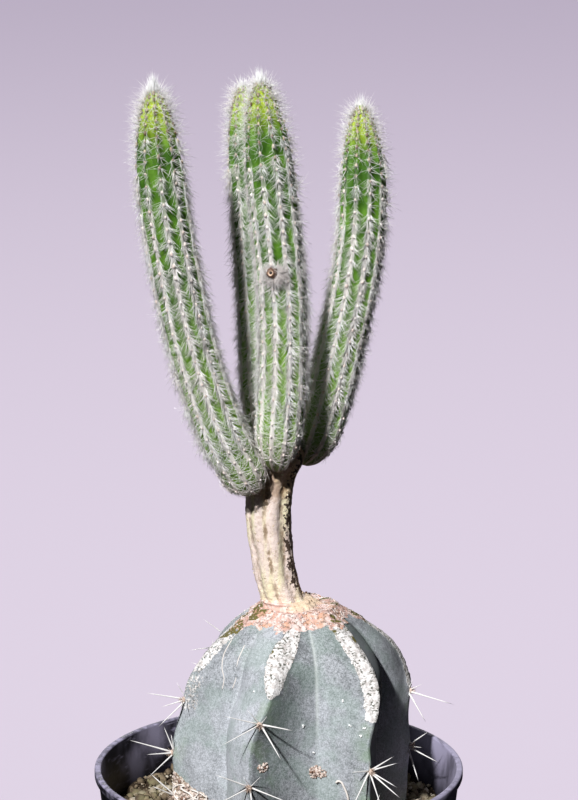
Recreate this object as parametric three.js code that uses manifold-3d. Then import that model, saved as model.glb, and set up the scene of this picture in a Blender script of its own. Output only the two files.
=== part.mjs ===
// A potted grafted lamb's tail cactus. A slender hairy cactus (the scion) with four upright arms is
// grafted on a squat six-ribbed cactus (the rootstock), which grows in gritty soil in a plain black
// nursery pot. Millimetres, +Z up. The origin is the centre of the pot's foot, on the surface that it
// stands on. The front of the plant faces -Y.

import * as THREE from "three";
import { mergeVertices } from "three/addons/utils/BufferGeometryUtils.js";
import Module from "manifold-3d";

const wasm = await Module();
wasm.setup();

// Driving dimensions of the pot.
const potHeight = 88;
const potRimRadius = 50;
const potFootRadius = 39;
const potWall = 1.1;
const potLipHeight = 2.4;
const potLipReach = 0.7;
const potLipEase = 0.6;
const potFloorHeight = 4;
const potFloorThickness = 1.2;
const potFootWidth = 3;
const potSegments = 64;
const drainSlots = 8;
const drainSlotLength = 10;
const drainSlotWidth = 3.6;
const drainSlotCircle = 27;

// Pieces that touch each other keep this gap.
const gap = 0.3;

// The soil stops this far below the rim. Its top is uneven, and grit lies half sunk in it.
const soilDepth = 14;
const soilTop = potHeight - soilDepth;
const soilSegments = 48;
const soilTopRings = [1, 0.9, 0.78, 0.62, 0.4];
const soilUnevenness = 0.7;
const gritCount = 34;
const gritSizes = [1.2, 2.5];

// Driving dimensions of the rootstock. Its profile gives the radius of a rib's crest at each height.
// Its axis shifts sideways and its ribs twist a little between the two heights of its bend.
const stockProfile = [
  [9, 46],
  [24, 55],
  [31, 70],
  [32.2, 86],
  [32.3, 99],
  [31.6, 111.5],
  [27.2, 120.5],
  [18.2, 128.2],
  [12.4, 131.8],
  [10, 133.8],
];
const stockLevels = 19;
const stockBend = [100, 120];
const stockAxisBelow = 3.5;
const stockAxisAbove = 5;
const stockTwist = 7;
const stockRibs = 6;
const stockFirstRib = -80;
const stockStepsPerRib = 6;
const stockFurrow = 0.7;
const stockShallowing = 0.2;
const stockFlankBulge = 0.055;
const stockShoulder = 112;

// The valley after this rib is lopsided: its furrow lies this many degrees after the rib's crest, below
// and above the bend, and the flank down to it is hollow.
const frontRib = 1;
const frontFurrowBelow = 38.5;
const frontFurrowAbove = 27.5;
const frontFurrow = 0.66;
const frontFlankBulge = -0.03;
const stockSpineLength = 10.5;
const stockSpineRadius = 0.42;
const stockSpineRoot = 0.9;
const stockSpinesPerAreole = 6;
const spineToSoil = 3.5;
const spineToPot = 2;

// The heights of the areoles that still have spines, for each rib from the first one on.
const stockAreoles = [
  [109, 93.5, 81],
  [110, 92.5],
  [95, 81],
  [107, 91.5],
  [110, 96, 82],
  [107, 93, 80],
];

// The trunk's axis and radius from the graft up to the crown that carries the arms.
const trunkAxis = [
  [3.6, 0, 134.1],
  [1.9, 0, 136.4],
  [-0.6, 0, 141.3],
  [-2.1, 0, 150],
  [-2.6, 0, 160],
  [-2, 0.4, 168.5],
  [-0.6, 0.8, 174],
  [0, 1, 179],
];
const trunkRadii = [9.3, 7.2, 6.2, 6.2, 6.4, 6.6, 7.6, 5.6];
const trunkRise = 3.4;
const trunkRibs = 10;
const trunkRibTurn = 10;
const trunkFurrow = 0.9;
const trunkSteps = 16;

// Driving dimensions of the arms.
const armRibs = 10;
const armFurrow = 0.84;
const armTipLength = 28;
const armTipShares = [0.8, 0.6, 0.42, 0.26, 0.13, 0.05, 0.015];
const armBaseShares = [0.02, 0.1, 0.25, 0.5];
const armStep = 5.6;
const hairLength = 4.2;
const hairRadius = 0.27;
const hairRows = 8;
const hairRootShare = 0.86;
const hairToTrunk = 10;
const crownHairs = 6;
const crownHairLength = 7;
const crownHairDepth = 2;

// Each arm's axis runs from its rounded base to its tip. ribTurn is the angle from the front to the
// nearest rib's crest, in degrees, and base is the length over which the rounded base widens.
const arms = [
  {
    name: "arm_left",
    radius: 6.4,
    ribTurn: 3,
    base: 8,
    axis: [
      [-6, -7.2, 164.9],
      [-7.6, -8.2, 168.8],
      [-10.6, -9.8, 175.2],
      [-15.4, -11.6, 185.5],
      [-20.7, -13.8, 201.8],
      [-24.7, -15.6, 218.2],
      [-29.6, -18.4, 248.5],
      [-31.8, -20.6, 277.1],
    ],
  },
  {
    name: "arm_front",
    radius: 6.3,
    ribTurn: 17,
    base: 14,
    axis: [
      [-0.6, -8.8, 173.2],
      [-0.3, -10.4, 179],
      [0.5, -11.6, 189],
      [1.2, -12.3, 205],
      [0.9, -12.5, 222],
      [-1.3, -13, 246.5],
      [-4.6, -14, 278.2],
    ],
  },
  {
    name: "arm_right",
    radius: 6.2,
    ribTurn: 16,
    base: 13,
    axis: [
      [6.4, 5.2, 171],
      [8.6, 6, 175.1],
      [11.7, 5.4, 183.5],
      [16.9, 3.4, 206.1],
      [20.8, 2.4, 226.3],
      [22.3, 2.4, 246.3],
      [21.6, 3.4, 268.9],
    ],
  },
  {
    name: "arm_back",
    radius: 6.1,
    ribTurn: 0,
    base: 9,
    axis: [
      [-2, 9.2, 171.5],
      [-3, 11.6, 178.8],
      [-4.2, 14.6, 190.8],
      [-4.8, 17.2, 206.9],
      [-5.8, 19, 222.7],
      [-7.1, 20.6, 243.7],
      [-9.5, 22.6, 270.9],
    ],
  },
];

// The woolly bump on the front arm, with the dried collar that a fallen bud left.
const budAt = new THREE.Vector3(-1.8, -18, 229.3);
const budFacing = new THREE.Vector3(-0.32, -0.94, 0.12);
const budWoolRadius = 3.5;
const budWoolFlatness = 0.75;
const budCollarRadius = 1.25;
const budCollarReach = 3.6;
const budCollarSides = 9;
const budDimpleDepth = 0.7;

const materials = {
  pot: new THREE.MeshStandardMaterial({ color: 0x1c1c22, roughness: 0.45, metalness: 0 }),
  soil: new THREE.MeshStandardMaterial({ color: 0x6b5a45, roughness: 0.95, metalness: 0 }),
  stock: new THREE.MeshStandardMaterial({ color: 0x7d9488, roughness: 0.75, metalness: 0 }),
  bark: new THREE.MeshStandardMaterial({ color: 0xcbb68c, roughness: 0.85, metalness: 0 }),
  stem: new THREE.MeshStandardMaterial({ color: 0x8ba06f, roughness: 0.8, metalness: 0 }),
};

const { degToRad, euclideanModulo, lerp, radToDeg, smoothstep } = THREE.MathUtils;

// Seeded draws from 0 to 1, so that each build gives the same plant. The seed is from 1 to 2147483646.
function seededDraw(seed) {
  const modulus = 2147483647;
  const multiplier = 48271;
  let state = seed;
  return () => {
    state = (state * multiplier) % modulus;
    return state / modulus;
  };
}

// A closed geometry as a solid that can be joined and cut.
function solidOf(geometry) {
  const bare = geometry.clone();
  bare.deleteAttribute("normal");
  bare.deleteAttribute("uv");
  const merged = mergeVertices(bare, 1e-4);
  return new wasm.Manifold(
    new wasm.Mesh({
      numProp: 3,
      vertProperties: new Float32Array(merged.attributes.position.array),
      triVerts: new Uint32Array(merged.index.array),
    }),
  );
}

// The way back, from a solid to a geometry.
function geometryOf(solid) {
  const made = solid.getMesh();
  const geometry = new THREE.BufferGeometry();
  geometry.setAttribute("position", new THREE.BufferAttribute(made.vertProperties, 3));
  geometry.setIndex(new THREE.BufferAttribute(made.triVerts, 1));
  const flat = geometry.toNonIndexed();
  flat.computeVertexNormals();
  return flat;
}

function joined(solids) {
  return solids.reduce((sum, solid) => sum.add(solid));
}

function curveThrough(points) {
  return new THREE.CatmullRomCurve3(points.map((point) => new THREE.Vector3(...point)), false, "centripetal");
}

// A closed skin over rings of points, which run anticlockwise seen from the last ring's side. Each end
// closes in a fan to its own point.
function skin(rings, firstPoint, lastPoint) {
  const sides = rings[0].length;
  const points = [...rings.flat(), firstPoint, lastPoint];
  const first = points.length - 2;
  const last = points.length - 1;
  const lastRing = (rings.length - 1) * sides;
  const faces = [];
  for (let side = 0; side < sides; side++) {
    const next = (side + 1) % sides;
    faces.push(first, next, side);
    faces.push(last, lastRing + side, lastRing + next);
    for (let ring = 0; ring < lastRing; ring += sides) {
      faces.push(ring + side, ring + next, ring + sides + next);
      faces.push(ring + side, ring + sides + next, ring + sides + side);
    }
  }
  const geometry = new THREE.BufferGeometry().setFromPoints(points);
  geometry.setIndex(faces);
  return geometry;
}

// A three-sided needle with its root on a point and its tip length away along direction.
function needle(root, direction, length, radius) {
  const cone = new THREE.ConeGeometry(radius, length, 3);
  cone.translate(0, length / 2, 0);
  const up = new THREE.Vector3(0, 1, 0);
  cone.applyQuaternion(new THREE.Quaternion().setFromUnitVectors(up, direction.clone().normalize()));
  cone.translate(root.x, root.y, root.z);
  return solidOf(cone);
}

// The pot is a turned shell with a thick lip, a raised floor inside its foot ring, and drain slots.
const potLean = (potRimRadius - potLipReach - potFootRadius) / potHeight;
const potCorner = 2;

function potOuterRadius(height) {
  return potFootRadius + potLean * height;
}

function potInnerRadius(height) {
  return potOuterRadius(height) - potWall;
}

// The cut-off corner where the pot's wall meets its floor, and the floor's centre, moved in by inset.
function innerCorner(inset) {
  const floorTop = potFloorHeight + potFloorThickness + inset;
  const wallFoot = floorTop + potCorner;
  return [
    [potInnerRadius(wallFoot) - inset, wallFoot],
    [potInnerRadius(wallFoot) - inset - potCorner, floorTop],
    [0, floorTop],
  ];
}

function turned(profile, segments) {
  const points = profile.map(([radius, height]) => new THREE.Vector2(radius, height));
  const geometry = new THREE.LatheGeometry(points, segments);
  geometry.rotateX(Math.PI / 2);
  return geometry;
}

function makePot() {
  const lipFoot = potHeight - potLipHeight;
  const profile = [
    [0, potFloorHeight],
    [potFootRadius - potFootWidth - 1, potFloorHeight],
    [potFootRadius - potFootWidth, 0],
    [potFootRadius, 0],
    [potOuterRadius(lipFoot), lipFoot],
    [potRimRadius - potLipEase / 3, lipFoot + potLipEase / 2],
    [potRimRadius, lipFoot + potLipEase],
    [potRimRadius, potHeight - potLipEase],
    [potRimRadius - potLipEase, potHeight],
    [potInnerRadius(potHeight) + potLipEase / 2, potHeight],
    [potInnerRadius(potHeight), potHeight - potLipEase],
    ...innerCorner(0),
  ];
  const slots = [];
  for (let i = 0; i < drainSlots; i++) {
    const slot = new THREE.BoxGeometry(drainSlotLength, drainSlotWidth, potFloorThickness * 3);
    slot.translate(drainSlotCircle, 0, potFloorHeight + potFloorThickness / 2);
    slot.rotateZ((i * 2 * Math.PI) / drainSlots);
    slots.push(solidOf(slot));
  }
  return solidOf(turned(profile, potSegments)).subtract(joined(slots));
}

// The angle in degrees from a rib's crest to the furrow after it.
function furrowAfter(rib, height) {
  if (rib !== frontRib) return 180 / stockRibs;
  return lerp(frontFurrowBelow, frontFurrowAbove, smoothstep(height, ...stockBend));
}

// The flank at an angle from the first crest: the turn, from 0 at its crest to 1 in its furrow, its
// width in degrees, its furrow's depth and how far it bulges.
function flankAt(degrees, height) {
  const ribWidth = 360 / stockRibs;
  const rib = Math.floor(euclideanModulo(degrees / ribWidth, stockRibs));
  const past = euclideanModulo(degrees, ribWidth);
  const after = furrowAfter(rib, height);
  const front = rib === frontRib;
  const furrow = front ? frontFurrow : stockFurrow;
  if (past < after) {
    return { turn: past / after, width: after, furrow, bulge: front ? frontFlankBulge : stockFlankBulge };
  }
  const width = ribWidth - after;
  return { turn: (ribWidth - past) / width, width, furrow, bulge: stockFlankBulge };
}

// A rib's flank is nearly flat. This is the skin's radius as a share of the crest's, at an angle from
// the first crest. The furrows are shallower on the shoulder.
function ribShare(degrees, height) {
  const { turn, width, furrow: depth, bulge } = flankAt(degrees, height);
  const furrow = depth + stockShallowing * smoothstep(height, stockShoulder, stockProfile.at(-1)[1]);
  const half = degToRad(width);
  const flank = Math.sin(turn * half) + furrow * Math.sin((1 - turn) * half);
  return (furrow * Math.sin(half)) / flank + bulge * Math.sin(Math.PI * turn);
}

// A point at an angle from the first rib's crest, a radius from the rootstock's axis, and a height.
function stockPoint(degrees, radius, height) {
  const rise = smoothstep(height, ...stockBend);
  const angle = degToRad(stockFirstRib + degrees + stockTwist * rise);
  const centre = lerp(stockAxisBelow, stockAxisAbove, rise);
  return new THREE.Vector3(centre + radius * Math.sin(angle), -radius * Math.cos(angle), height);
}

const stockCurve = new THREE.SplineCurve(stockProfile.map((point) => new THREE.Vector2(...point)));
const stockCurvePoints = stockCurve.getPoints(200);

function stockCrestRadius(height) {
  return stockCurvePoints.find((point) => point.y >= height).x;
}

// The angle of a step round the body. Half of a rib's steps lie before its furrow and half after.
function stepAngle(step, height) {
  const rib = Math.floor(step / stockStepsPerRib);
  const share = (2 * (step % stockStepsPerRib)) / stockStepsPerRib;
  const after = furrowAfter(rib, height);
  const ribWidth = 360 / stockRibs;
  return rib * ribWidth + (share < 1 ? share * after : after + (share - 1) * (ribWidth - after));
}

// The rootstock's ribbed body, grown by extra on all sides.
function stockBody(extra) {
  const steps = stockRibs * stockStepsPerRib;
  const top = stockProfile.at(-1)[1];
  const rings = [];
  for (let level = 0; level <= stockLevels; level++) {
    const { x: crest, y: height } = stockCurve.getPoint(level / stockLevels);
    const ring = [];
    for (let step = 0; step < steps; step++) {
      const degrees = stepAngle(step, height);
      const radius = crest * ribShare(degrees, height) + extra;
      ring.push(stockPoint(degrees, radius, height));
    }
    rings.push(ring);
  }
  const foot = stockProfile[0][1] - extra;
  return solidOf(skin(rings, stockPoint(0, 0, foot), stockPoint(0, 0, top)));
}

// How far a point on the soil lies outside the rootstock's ribbed outline there.
function stockClearance(x, y) {
  const degrees = radToDeg(Math.atan2(x - stockAxisBelow, -y)) - stockFirstRib;
  const outline = stockCrestRadius(soilTop) * ribShare(degrees, soilTop);
  return Math.hypot(x - stockAxisBelow, y) - outline;
}

// A star of spines from each areole. Those that would reach the soil or the pot are left out.
function stockSpines() {
  const draw = seededDraw(7);
  const wallReach = potInnerRadius(potHeight) - spineToPot;
  const spines = [];
  for (const [rib, areoles] of stockAreoles.entries()) {
    for (const height of areoles) {
      const degrees = (rib * 360) / stockRibs;
      const root = stockPoint(degrees, stockCrestRadius(height) - stockSpineRoot, height);
      const out = stockPoint(degrees, 1, height).sub(stockPoint(degrees, 0, height));
      const side = new THREE.Vector3(-out.y, out.x, 0);
      for (let i = 0; i < stockSpinesPerAreole; i++) {
        const around = ((i + 0.5 * draw()) * 2 * Math.PI) / stockSpinesPerAreole;
        const spread = 1.1 + 0.8 * draw();
        const way = out.clone().addScaledVector(side, Math.cos(around) * spread);
        way.z += Math.sin(around) * spread;
        way.normalize();
        const length = stockSpineLength * (0.75 + 0.35 * draw());
        const tip = root.clone().addScaledVector(way, length);
        const nearWall = tip.z < potHeight + spineToPot && Math.hypot(tip.x, tip.y) > wallReach;
        if (nearWall || tip.z < soilTop + spineToSoil) continue;
        spines.push(needle(root, way, length, stockSpineRadius));
      }
    }
  }
  return spines;
}

// The height of the soil's gently uneven top.
function soilHeight(x, y) {
  const waves = Math.sin(x * 0.31 + 1) * Math.cos(y * 0.27) + 0.6 * Math.sin(x * 0.12 - y * 0.55);
  return soilTop + soilUnevenness * waves;
}

// Squat stones on the soil, clear of the pot's wall and of the rootstock.
function gritStones(edge) {
  const draw = seededDraw(23);
  const grit = [];
  while (grit.length < gritCount) {
    const turn = draw() * 2 * Math.PI;
    const reach = edge * Math.sqrt(draw());
    const size = lerp(...gritSizes, draw());
    const x = reach * Math.cos(turn);
    const y = reach * Math.sin(turn);
    if (reach > edge - size - gap || stockClearance(x, y) < size + 2 * gap) continue;
    const stone = new THREE.IcosahedronGeometry(size, 0);
    stone.scale(1, 0.8, 0.7);
    stone.rotateX(draw());
    stone.rotateZ(draw() * Math.PI);
    stone.translate(x, y, soilHeight(x, y));
    grit.push(solidOf(stone));
  }
  return grit;
}

// The soil fills the pot, with a hole of the rootstock's own outline.
function makeSoil() {
  const edge = potInnerRadius(soilTop) - gap;
  const body = turned(
    [...innerCorner(gap).reverse(), ...soilTopRings.map((share) => [edge * share, soilTop]), [0, soilTop]],
    soilSegments,
  );
  const place = body.attributes.position;
  for (let i = 0; i < place.count; i++) {
    const x = place.getX(i);
    const y = place.getY(i);
    const onTop = place.getZ(i) === Math.fround(soilTop);
    if (onTop && Math.hypot(x, y) < edge - 1) place.setZ(i, soilHeight(x, y));
  }
  return joined([solidOf(body), ...gritStones(edge)]).subtract(stockBody(gap));
}

// The axis of a stem as a smooth curve, with frames that start from the front at the tip and are
// carried down without twist.
function stemFrames(axisPoints, stations) {
  const curve = curveThrough(axisPoints);
  const length = curve.getLength();
  const frames = stations(length).map((distance) => ({
    distance,
    length,
    centre: curve.getPointAt(distance / length),
    along: curve.getTangentAt(distance / length),
  }));
  let front = new THREE.Vector3(0, -1, 0);
  for (const frame of [...frames].reverse()) {
    front = front.clone().addScaledVector(frame.along, -front.dot(frame.along)).normalize();
    frame.front = front;
    frame.side = new THREE.Vector3().crossVectors(frame.along, front);
  }
  return frames;
}

function outFrom(frame, degrees) {
  const angle = degToRad(degrees);
  return new THREE.Vector3()
    .addScaledVector(frame.front, Math.cos(angle))
    .addScaledVector(frame.side, Math.sin(angle));
}

// A stem's ribbed ring at a frame, with a point on each crest and in each furrow.
function stemRing(frame, radius, ribs, ribTurn, furrow) {
  const ring = [];
  for (let i = 0; i < ribs * 2; i++) {
    const share = i % 2 ? furrow : 1;
    const out = outFrom(frame, ribTurn + (i * 180) / ribs);
    ring.push(frame.centre.clone().addScaledVector(out, radius * share));
  }
  return ring;
}

// The trunk's rings stay level, because it stands nearly upright.
function trunkSolid(extra) {
  const curve = new THREE.CatmullRomCurve3(trunkAxis.map((point) => new THREE.Vector3(...point)));
  const radiusCurve = new THREE.SplineCurve(trunkRadii.map((radius, i) => new THREE.Vector2(radius, i)));
  const level = { front: new THREE.Vector3(0, -1, 0), side: new THREE.Vector3(1, 0, 0) };
  const rings = [];
  for (let i = 0; i <= trunkSteps; i++) {
    const frame = { ...level, centre: curve.getPoint(i / trunkSteps) };
    const radius = radiusCurve.getPoint(i / trunkSteps).x + extra;
    rings.push(stemRing(frame, radius, trunkRibs, trunkRibTurn, trunkFurrow));
  }
  const top = curve.getPoint(1);
  top.z += trunkRise + extra;
  return solidOf(skin(rings, curve.getPoint(0), top));
}

// An arm's radius along its axis: a rounded base, a full stem, and a longer rounded tip.
function armRadiusAt(arm, distance, length) {
  const fromTip = Math.min(1, (length - distance) / armTipLength);
  const fromBase = Math.min(1, distance / arm.base);
  return arm.radius * (1 - (1 - fromTip) ** 2) ** 0.6 * (1 - (1 - fromBase) ** 2) ** 0.55;
}

function armStations(arm, length) {
  const steps = Math.round((length - armTipLength - arm.base) / armStep);
  const spacing = (length - armTipLength - arm.base) / steps;
  return [
    ...armBaseShares.map((share) => arm.base * share),
    ...Array.from({ length: steps + 1 }, (_, i) => arm.base + spacing * i),
    ...armTipShares.map((share) => length - armTipLength * share),
  ];
}

function armBody(arm, extra) {
  const frames = stemFrames(arm.axis, (length) => armStations(arm, length));
  const rings = frames.map((frame) => {
    const radius = armRadiusAt(arm, frame.distance, frame.length) + extra;
    return stemRing(frame, radius, armRibs, arm.ribTurn, armFurrow);
  });
  const base = new THREE.Vector3(...arm.axis[0]).addScaledVector(frames[0].along, -extra);
  const tip = new THREE.Vector3(...arm.axis.at(-1)).addScaledVector(frames.at(-1).along, extra);
  return solidOf(skin(rings, base, tip));
}

const trunkAxisSamples = curveThrough(trunkAxis).getSpacedPoints(40);
const armAxisSamples = new Map(arms.map(({ name, axis }) => [name, curveThrough(axis).getSpacedPoints(80)]));

function distanceToAxis(samples, point) {
  return Math.min(...samples.map((sample) => sample.distanceTo(point)));
}

// Hair spines on the crests, in staggered rows from the base to the tip. Those that would reach towards
// a neighbouring arm or the trunk are left out.
function armHairs(arm, seed) {
  const draw = seededDraw(seed);
  const ownAxis = armAxisSamples.get(arm.name);
  const otherAxes = [...armAxisSamples.values()].filter((samples) => samples !== ownAxis);
  const frames = stemFrames(arm.axis, (length) => Array.from({ length: Math.floor(length) }, (_, mm) => mm));
  const length = frames[0].length;
  const firstRow = arm.base * 0.7;
  const rowSpacing = (length - firstRow - 3) / hairRows;
  const hairs = [];
  for (let row = 0; row < hairRows; row++) {
    for (let rib = 0; rib < armRibs; rib++) {
      const stagger = 0.5 * (rib % 2) + 0.25 * draw();
      const frame = frames[Math.round(firstRow + rowSpacing * (row + stagger))];
      const out = outFrom(frame, arm.ribTurn + (rib * 360) / armRibs);
      const depth = armRadiusAt(arm, frame.distance, length) * hairRootShare;
      const root = frame.centre.clone().addScaledVector(out, depth);
      const sway = new THREE.Vector3().crossVectors(frame.along, out).multiplyScalar(draw() - 0.5);
      const way = out.addScaledVector(frame.along, -0.35 + 0.5 * draw()).add(sway).normalize();
      const reach = hairLength * (0.8 + 0.35 * draw());
      const tip = root.clone().addScaledVector(way, reach);
      const own = distanceToAxis(ownAxis, tip);
      const crowded = otherAxes.some((samples) => distanceToAxis(samples, tip) < own + 1);
      if (crowded || distanceToAxis(trunkAxisSamples, tip) < hairToTrunk) continue;
      hairs.push(needle(root, way, reach, hairRadius));
    }
  }
  return hairs;
}

// The tuft on an arm's tip: one hair straight up and a ring of them that splay.
function crownTuft(arm) {
  const [frame] = stemFrames(arm.axis, (length) => [length - crownHairDepth]);
  const tuft = [needle(frame.centre, frame.along, crownHairLength, hairRadius)];
  for (let i = 0; i < crownHairs; i++) {
    const splay = 0.35 + 0.3 * (i % 2);
    const way = outFrom(frame, (i * 360) / crownHairs).multiplyScalar(splay).add(frame.along);
    tuft.push(needle(frame.centre, way, crownHairLength * (1 - splay / 3), hairRadius));
  }
  return tuft;
}

// The bump of wool and the dried collar with its dimple.
function spentBud() {
  const facing = budFacing.clone().normalize();
  const turn = new THREE.Quaternion().setFromUnitVectors(new THREE.Vector3(0, 1, 0), facing);
  const wool = new THREE.IcosahedronGeometry(budWoolRadius, 1);
  wool.scale(1, budWoolFlatness, 1);
  const flare = budCollarRadius * 1.3;
  const collar = new THREE.CylinderGeometry(budCollarRadius, flare, budCollarReach, budCollarSides);
  collar.translate(0, budCollarReach / 2, 0);
  const dimple = new THREE.ConeGeometry(budCollarRadius * 0.7, budDimpleDepth * 2, budCollarSides);
  dimple.rotateX(Math.PI);
  dimple.translate(0, budCollarReach, 0);
  const place = (geometry) => solidOf(geometry.applyQuaternion(turn).translate(...budAt.toArray()));
  return place(wool).add(place(collar)).subtract(place(dimple));
}

// Each arm is cut clear of the trunk's crown, which it sits on, and of the arms before it.
function makeArms() {
  const crown = trunkSolid(gap);
  const bodies = new Map(arms.map((arm) => [arm.name, armBody(arm, 0).subtract(crown)]));
  const swollen = new Map(arms.map((arm) => [arm.name, armBody(arm, gap)]));
  return arms.map((arm, i) => {
    const earlier = arms.slice(0, i).map(({ name }) => swollen.get(name));
    const clear = earlier.reduce((left, neighbour) => left.subtract(neighbour), bodies.get(arm.name));
    const parts = [clear, ...armHairs(arm, 101 + i), ...crownTuft(arm)];
    if (arm.name === "arm_front") parts.push(spentBud());
    return [arm.name, joined(parts)];
  });
}

const plant = new THREE.Group();

function addPiece(name, solid, material) {
  const mesh = new THREE.Mesh(geometryOf(solid), material);
  mesh.name = name;
  plant.add(mesh);
}

addPiece("pot", makePot(), materials.pot);
addPiece("soil", makeSoil(), materials.soil);
addPiece("rootstock", joined([stockBody(0), ...stockSpines()]), materials.stock);
addPiece("trunk", trunkSolid(0), materials.bark);
for (const [name, solid] of makeArms()) addPiece(name, solid, materials.stem);

export default plant;
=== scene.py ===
# %% [markdown]
# # A grafted cactus in its nursery pot
# The plant is two cacti in one. A squat blue-green cactus with six ribs, the rootstock, stands in gritty
# soil. A slender hairy cactus, the scion, is grafted on its crown: a corky trunk that carries four arms.
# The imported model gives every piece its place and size. All that is built here is in metres in the same
# frame, so each piece lands where it belongs without any fitting.

import bisect
import math
import random

import bmesh
import bpy
from mathutils import Matrix, Vector, noise


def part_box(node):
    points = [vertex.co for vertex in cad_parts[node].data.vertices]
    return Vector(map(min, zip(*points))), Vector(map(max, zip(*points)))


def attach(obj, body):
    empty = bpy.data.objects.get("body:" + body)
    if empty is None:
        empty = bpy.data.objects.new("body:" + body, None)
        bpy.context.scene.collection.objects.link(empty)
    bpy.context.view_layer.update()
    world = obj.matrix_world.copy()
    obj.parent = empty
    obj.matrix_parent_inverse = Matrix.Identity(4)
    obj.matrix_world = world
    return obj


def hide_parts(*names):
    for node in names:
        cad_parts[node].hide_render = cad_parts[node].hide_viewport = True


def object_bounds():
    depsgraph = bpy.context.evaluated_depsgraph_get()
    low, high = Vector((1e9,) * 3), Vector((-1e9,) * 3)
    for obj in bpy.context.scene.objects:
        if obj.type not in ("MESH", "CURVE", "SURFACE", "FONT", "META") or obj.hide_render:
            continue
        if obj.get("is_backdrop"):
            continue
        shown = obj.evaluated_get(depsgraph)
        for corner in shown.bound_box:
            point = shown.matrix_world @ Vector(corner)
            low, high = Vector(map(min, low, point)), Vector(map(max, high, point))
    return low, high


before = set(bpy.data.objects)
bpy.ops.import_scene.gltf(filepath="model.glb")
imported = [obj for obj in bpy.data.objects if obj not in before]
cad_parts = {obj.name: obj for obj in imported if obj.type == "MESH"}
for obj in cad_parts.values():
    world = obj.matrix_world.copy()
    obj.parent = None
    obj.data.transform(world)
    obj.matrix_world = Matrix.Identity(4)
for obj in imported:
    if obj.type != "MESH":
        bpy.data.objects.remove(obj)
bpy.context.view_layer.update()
MM = 0.001

# %% [markdown]
# ## Camera
# The plant was looked at from a metre away, from a little above. A long lens keeps the arms nearly
# parallel. The camera is placed by its distance and tilt, and it looks at a point on the trunk.

# %% Camera
VIEW_TILT = math.radians(14.084)
LOOK_AT = Vector((0.00279, 0, 0.19026))
VIEW_DISTANCE = 1.0
LENS_MM = 169.7

lens = bpy.data.cameras.new("view_camera")
lens.lens = LENS_MM
camera = bpy.data.objects.new("view_camera", lens)
camera.location = LOOK_AT + Vector((0, -math.cos(VIEW_TILT), math.sin(VIEW_TILT))) * VIEW_DISTANCE
camera.rotation_euler = (math.pi / 2 - VIEW_TILT, 0, 0)
bpy.context.scene.collection.objects.link(camera)
bpy.context.scene.camera = camera
print("camera at", [round(value, 3) for value in camera.location])

# %% [markdown]
# ## Light
# One hard lamp stands in front and to the left, so the right side of every rib falls into deep shade.
# A sun lamp gives that light evenly at any distance, and its angle sets how soft the shadows' edges are.
# A second, low one behind the plant draws its back for anyone who walks round it.

# %% Lamps and world
KEY_AZIMUTH, KEY_ELEVATION = -23, 40
KEY_STRENGTH, KEY_SOFTNESS = 4.7, 2.5
BACK_AZIMUTH, BACK_ELEVATION = 182, 10
BACK_STRENGTH, BACK_SOFTNESS = 1.8, 25
AMBIENT_COLOUR, AMBIENT_STRENGTH = (0.86, 0.84, 1.0, 1), 0.022


def aim(azimuth, elevation):
    """A direction by two angles in degrees. Azimuth 0 is the front, which is -Y, and 90 the right."""
    turn, rise = math.radians(azimuth), math.radians(elevation)
    return Vector((math.sin(turn) * math.cos(rise), -math.cos(turn) * math.cos(rise), math.sin(rise)))


def add_sun(name, azimuth, elevation, strength, softness):
    """A sun lamp that shines from where its two angles aim."""
    lamp = bpy.data.lights.new(name, "SUN")
    lamp.energy = strength
    lamp.angle = math.radians(softness)
    sun = bpy.data.objects.new(name, lamp)
    sun.rotation_euler = aim(azimuth, elevation).to_track_quat("Z", "Y").to_euler()
    bpy.context.scene.collection.objects.link(sun)
    return sun


key_light = add_sun("key_light", KEY_AZIMUTH, KEY_ELEVATION, KEY_STRENGTH, KEY_SOFTNESS)
back_light = add_sun("back_light", BACK_AZIMUTH, BACK_ELEVATION, BACK_STRENGTH, BACK_SOFTNESS)
world = bpy.data.worlds.new("studio")
world.use_nodes = True
sky = world.node_tree.nodes["Background"]
sky.inputs["Color"].default_value = AMBIENT_COLOUR
sky.inputs["Strength"].default_value = AMBIENT_STRENGTH
bpy.context.scene.world = world
bpy.context.scene.view_settings.view_transform = "Standard"
print("lights:", [item.name for item in bpy.data.lights])

# %% [markdown]
# ## Shader helpers
# Every finish is one Principled shader fed by a few procedural nodes. Wrapping the node tree in a small
# class keeps each recipe short: a base colour, coats of other colours laid over parts of it, and relief.
# Patterns read object coordinates in metres, so a grain size is a real size. What depends on the part of
# a plant, such as rib or furrow, comes from vertex attributes.


# %% Shader helpers
def paint(code):
    """A colour written as six hexadecimal digits, as the linear colour that nodes use."""
    shares = [int(code[i : i + 2], 16) / 255 for i in (0, 2, 4)]
    linear = [s / 12.92 if s <= 0.04045 else ((s + 0.055) / 1.055) ** 2.4 for s in shares]
    return (*linear, 1)


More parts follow.
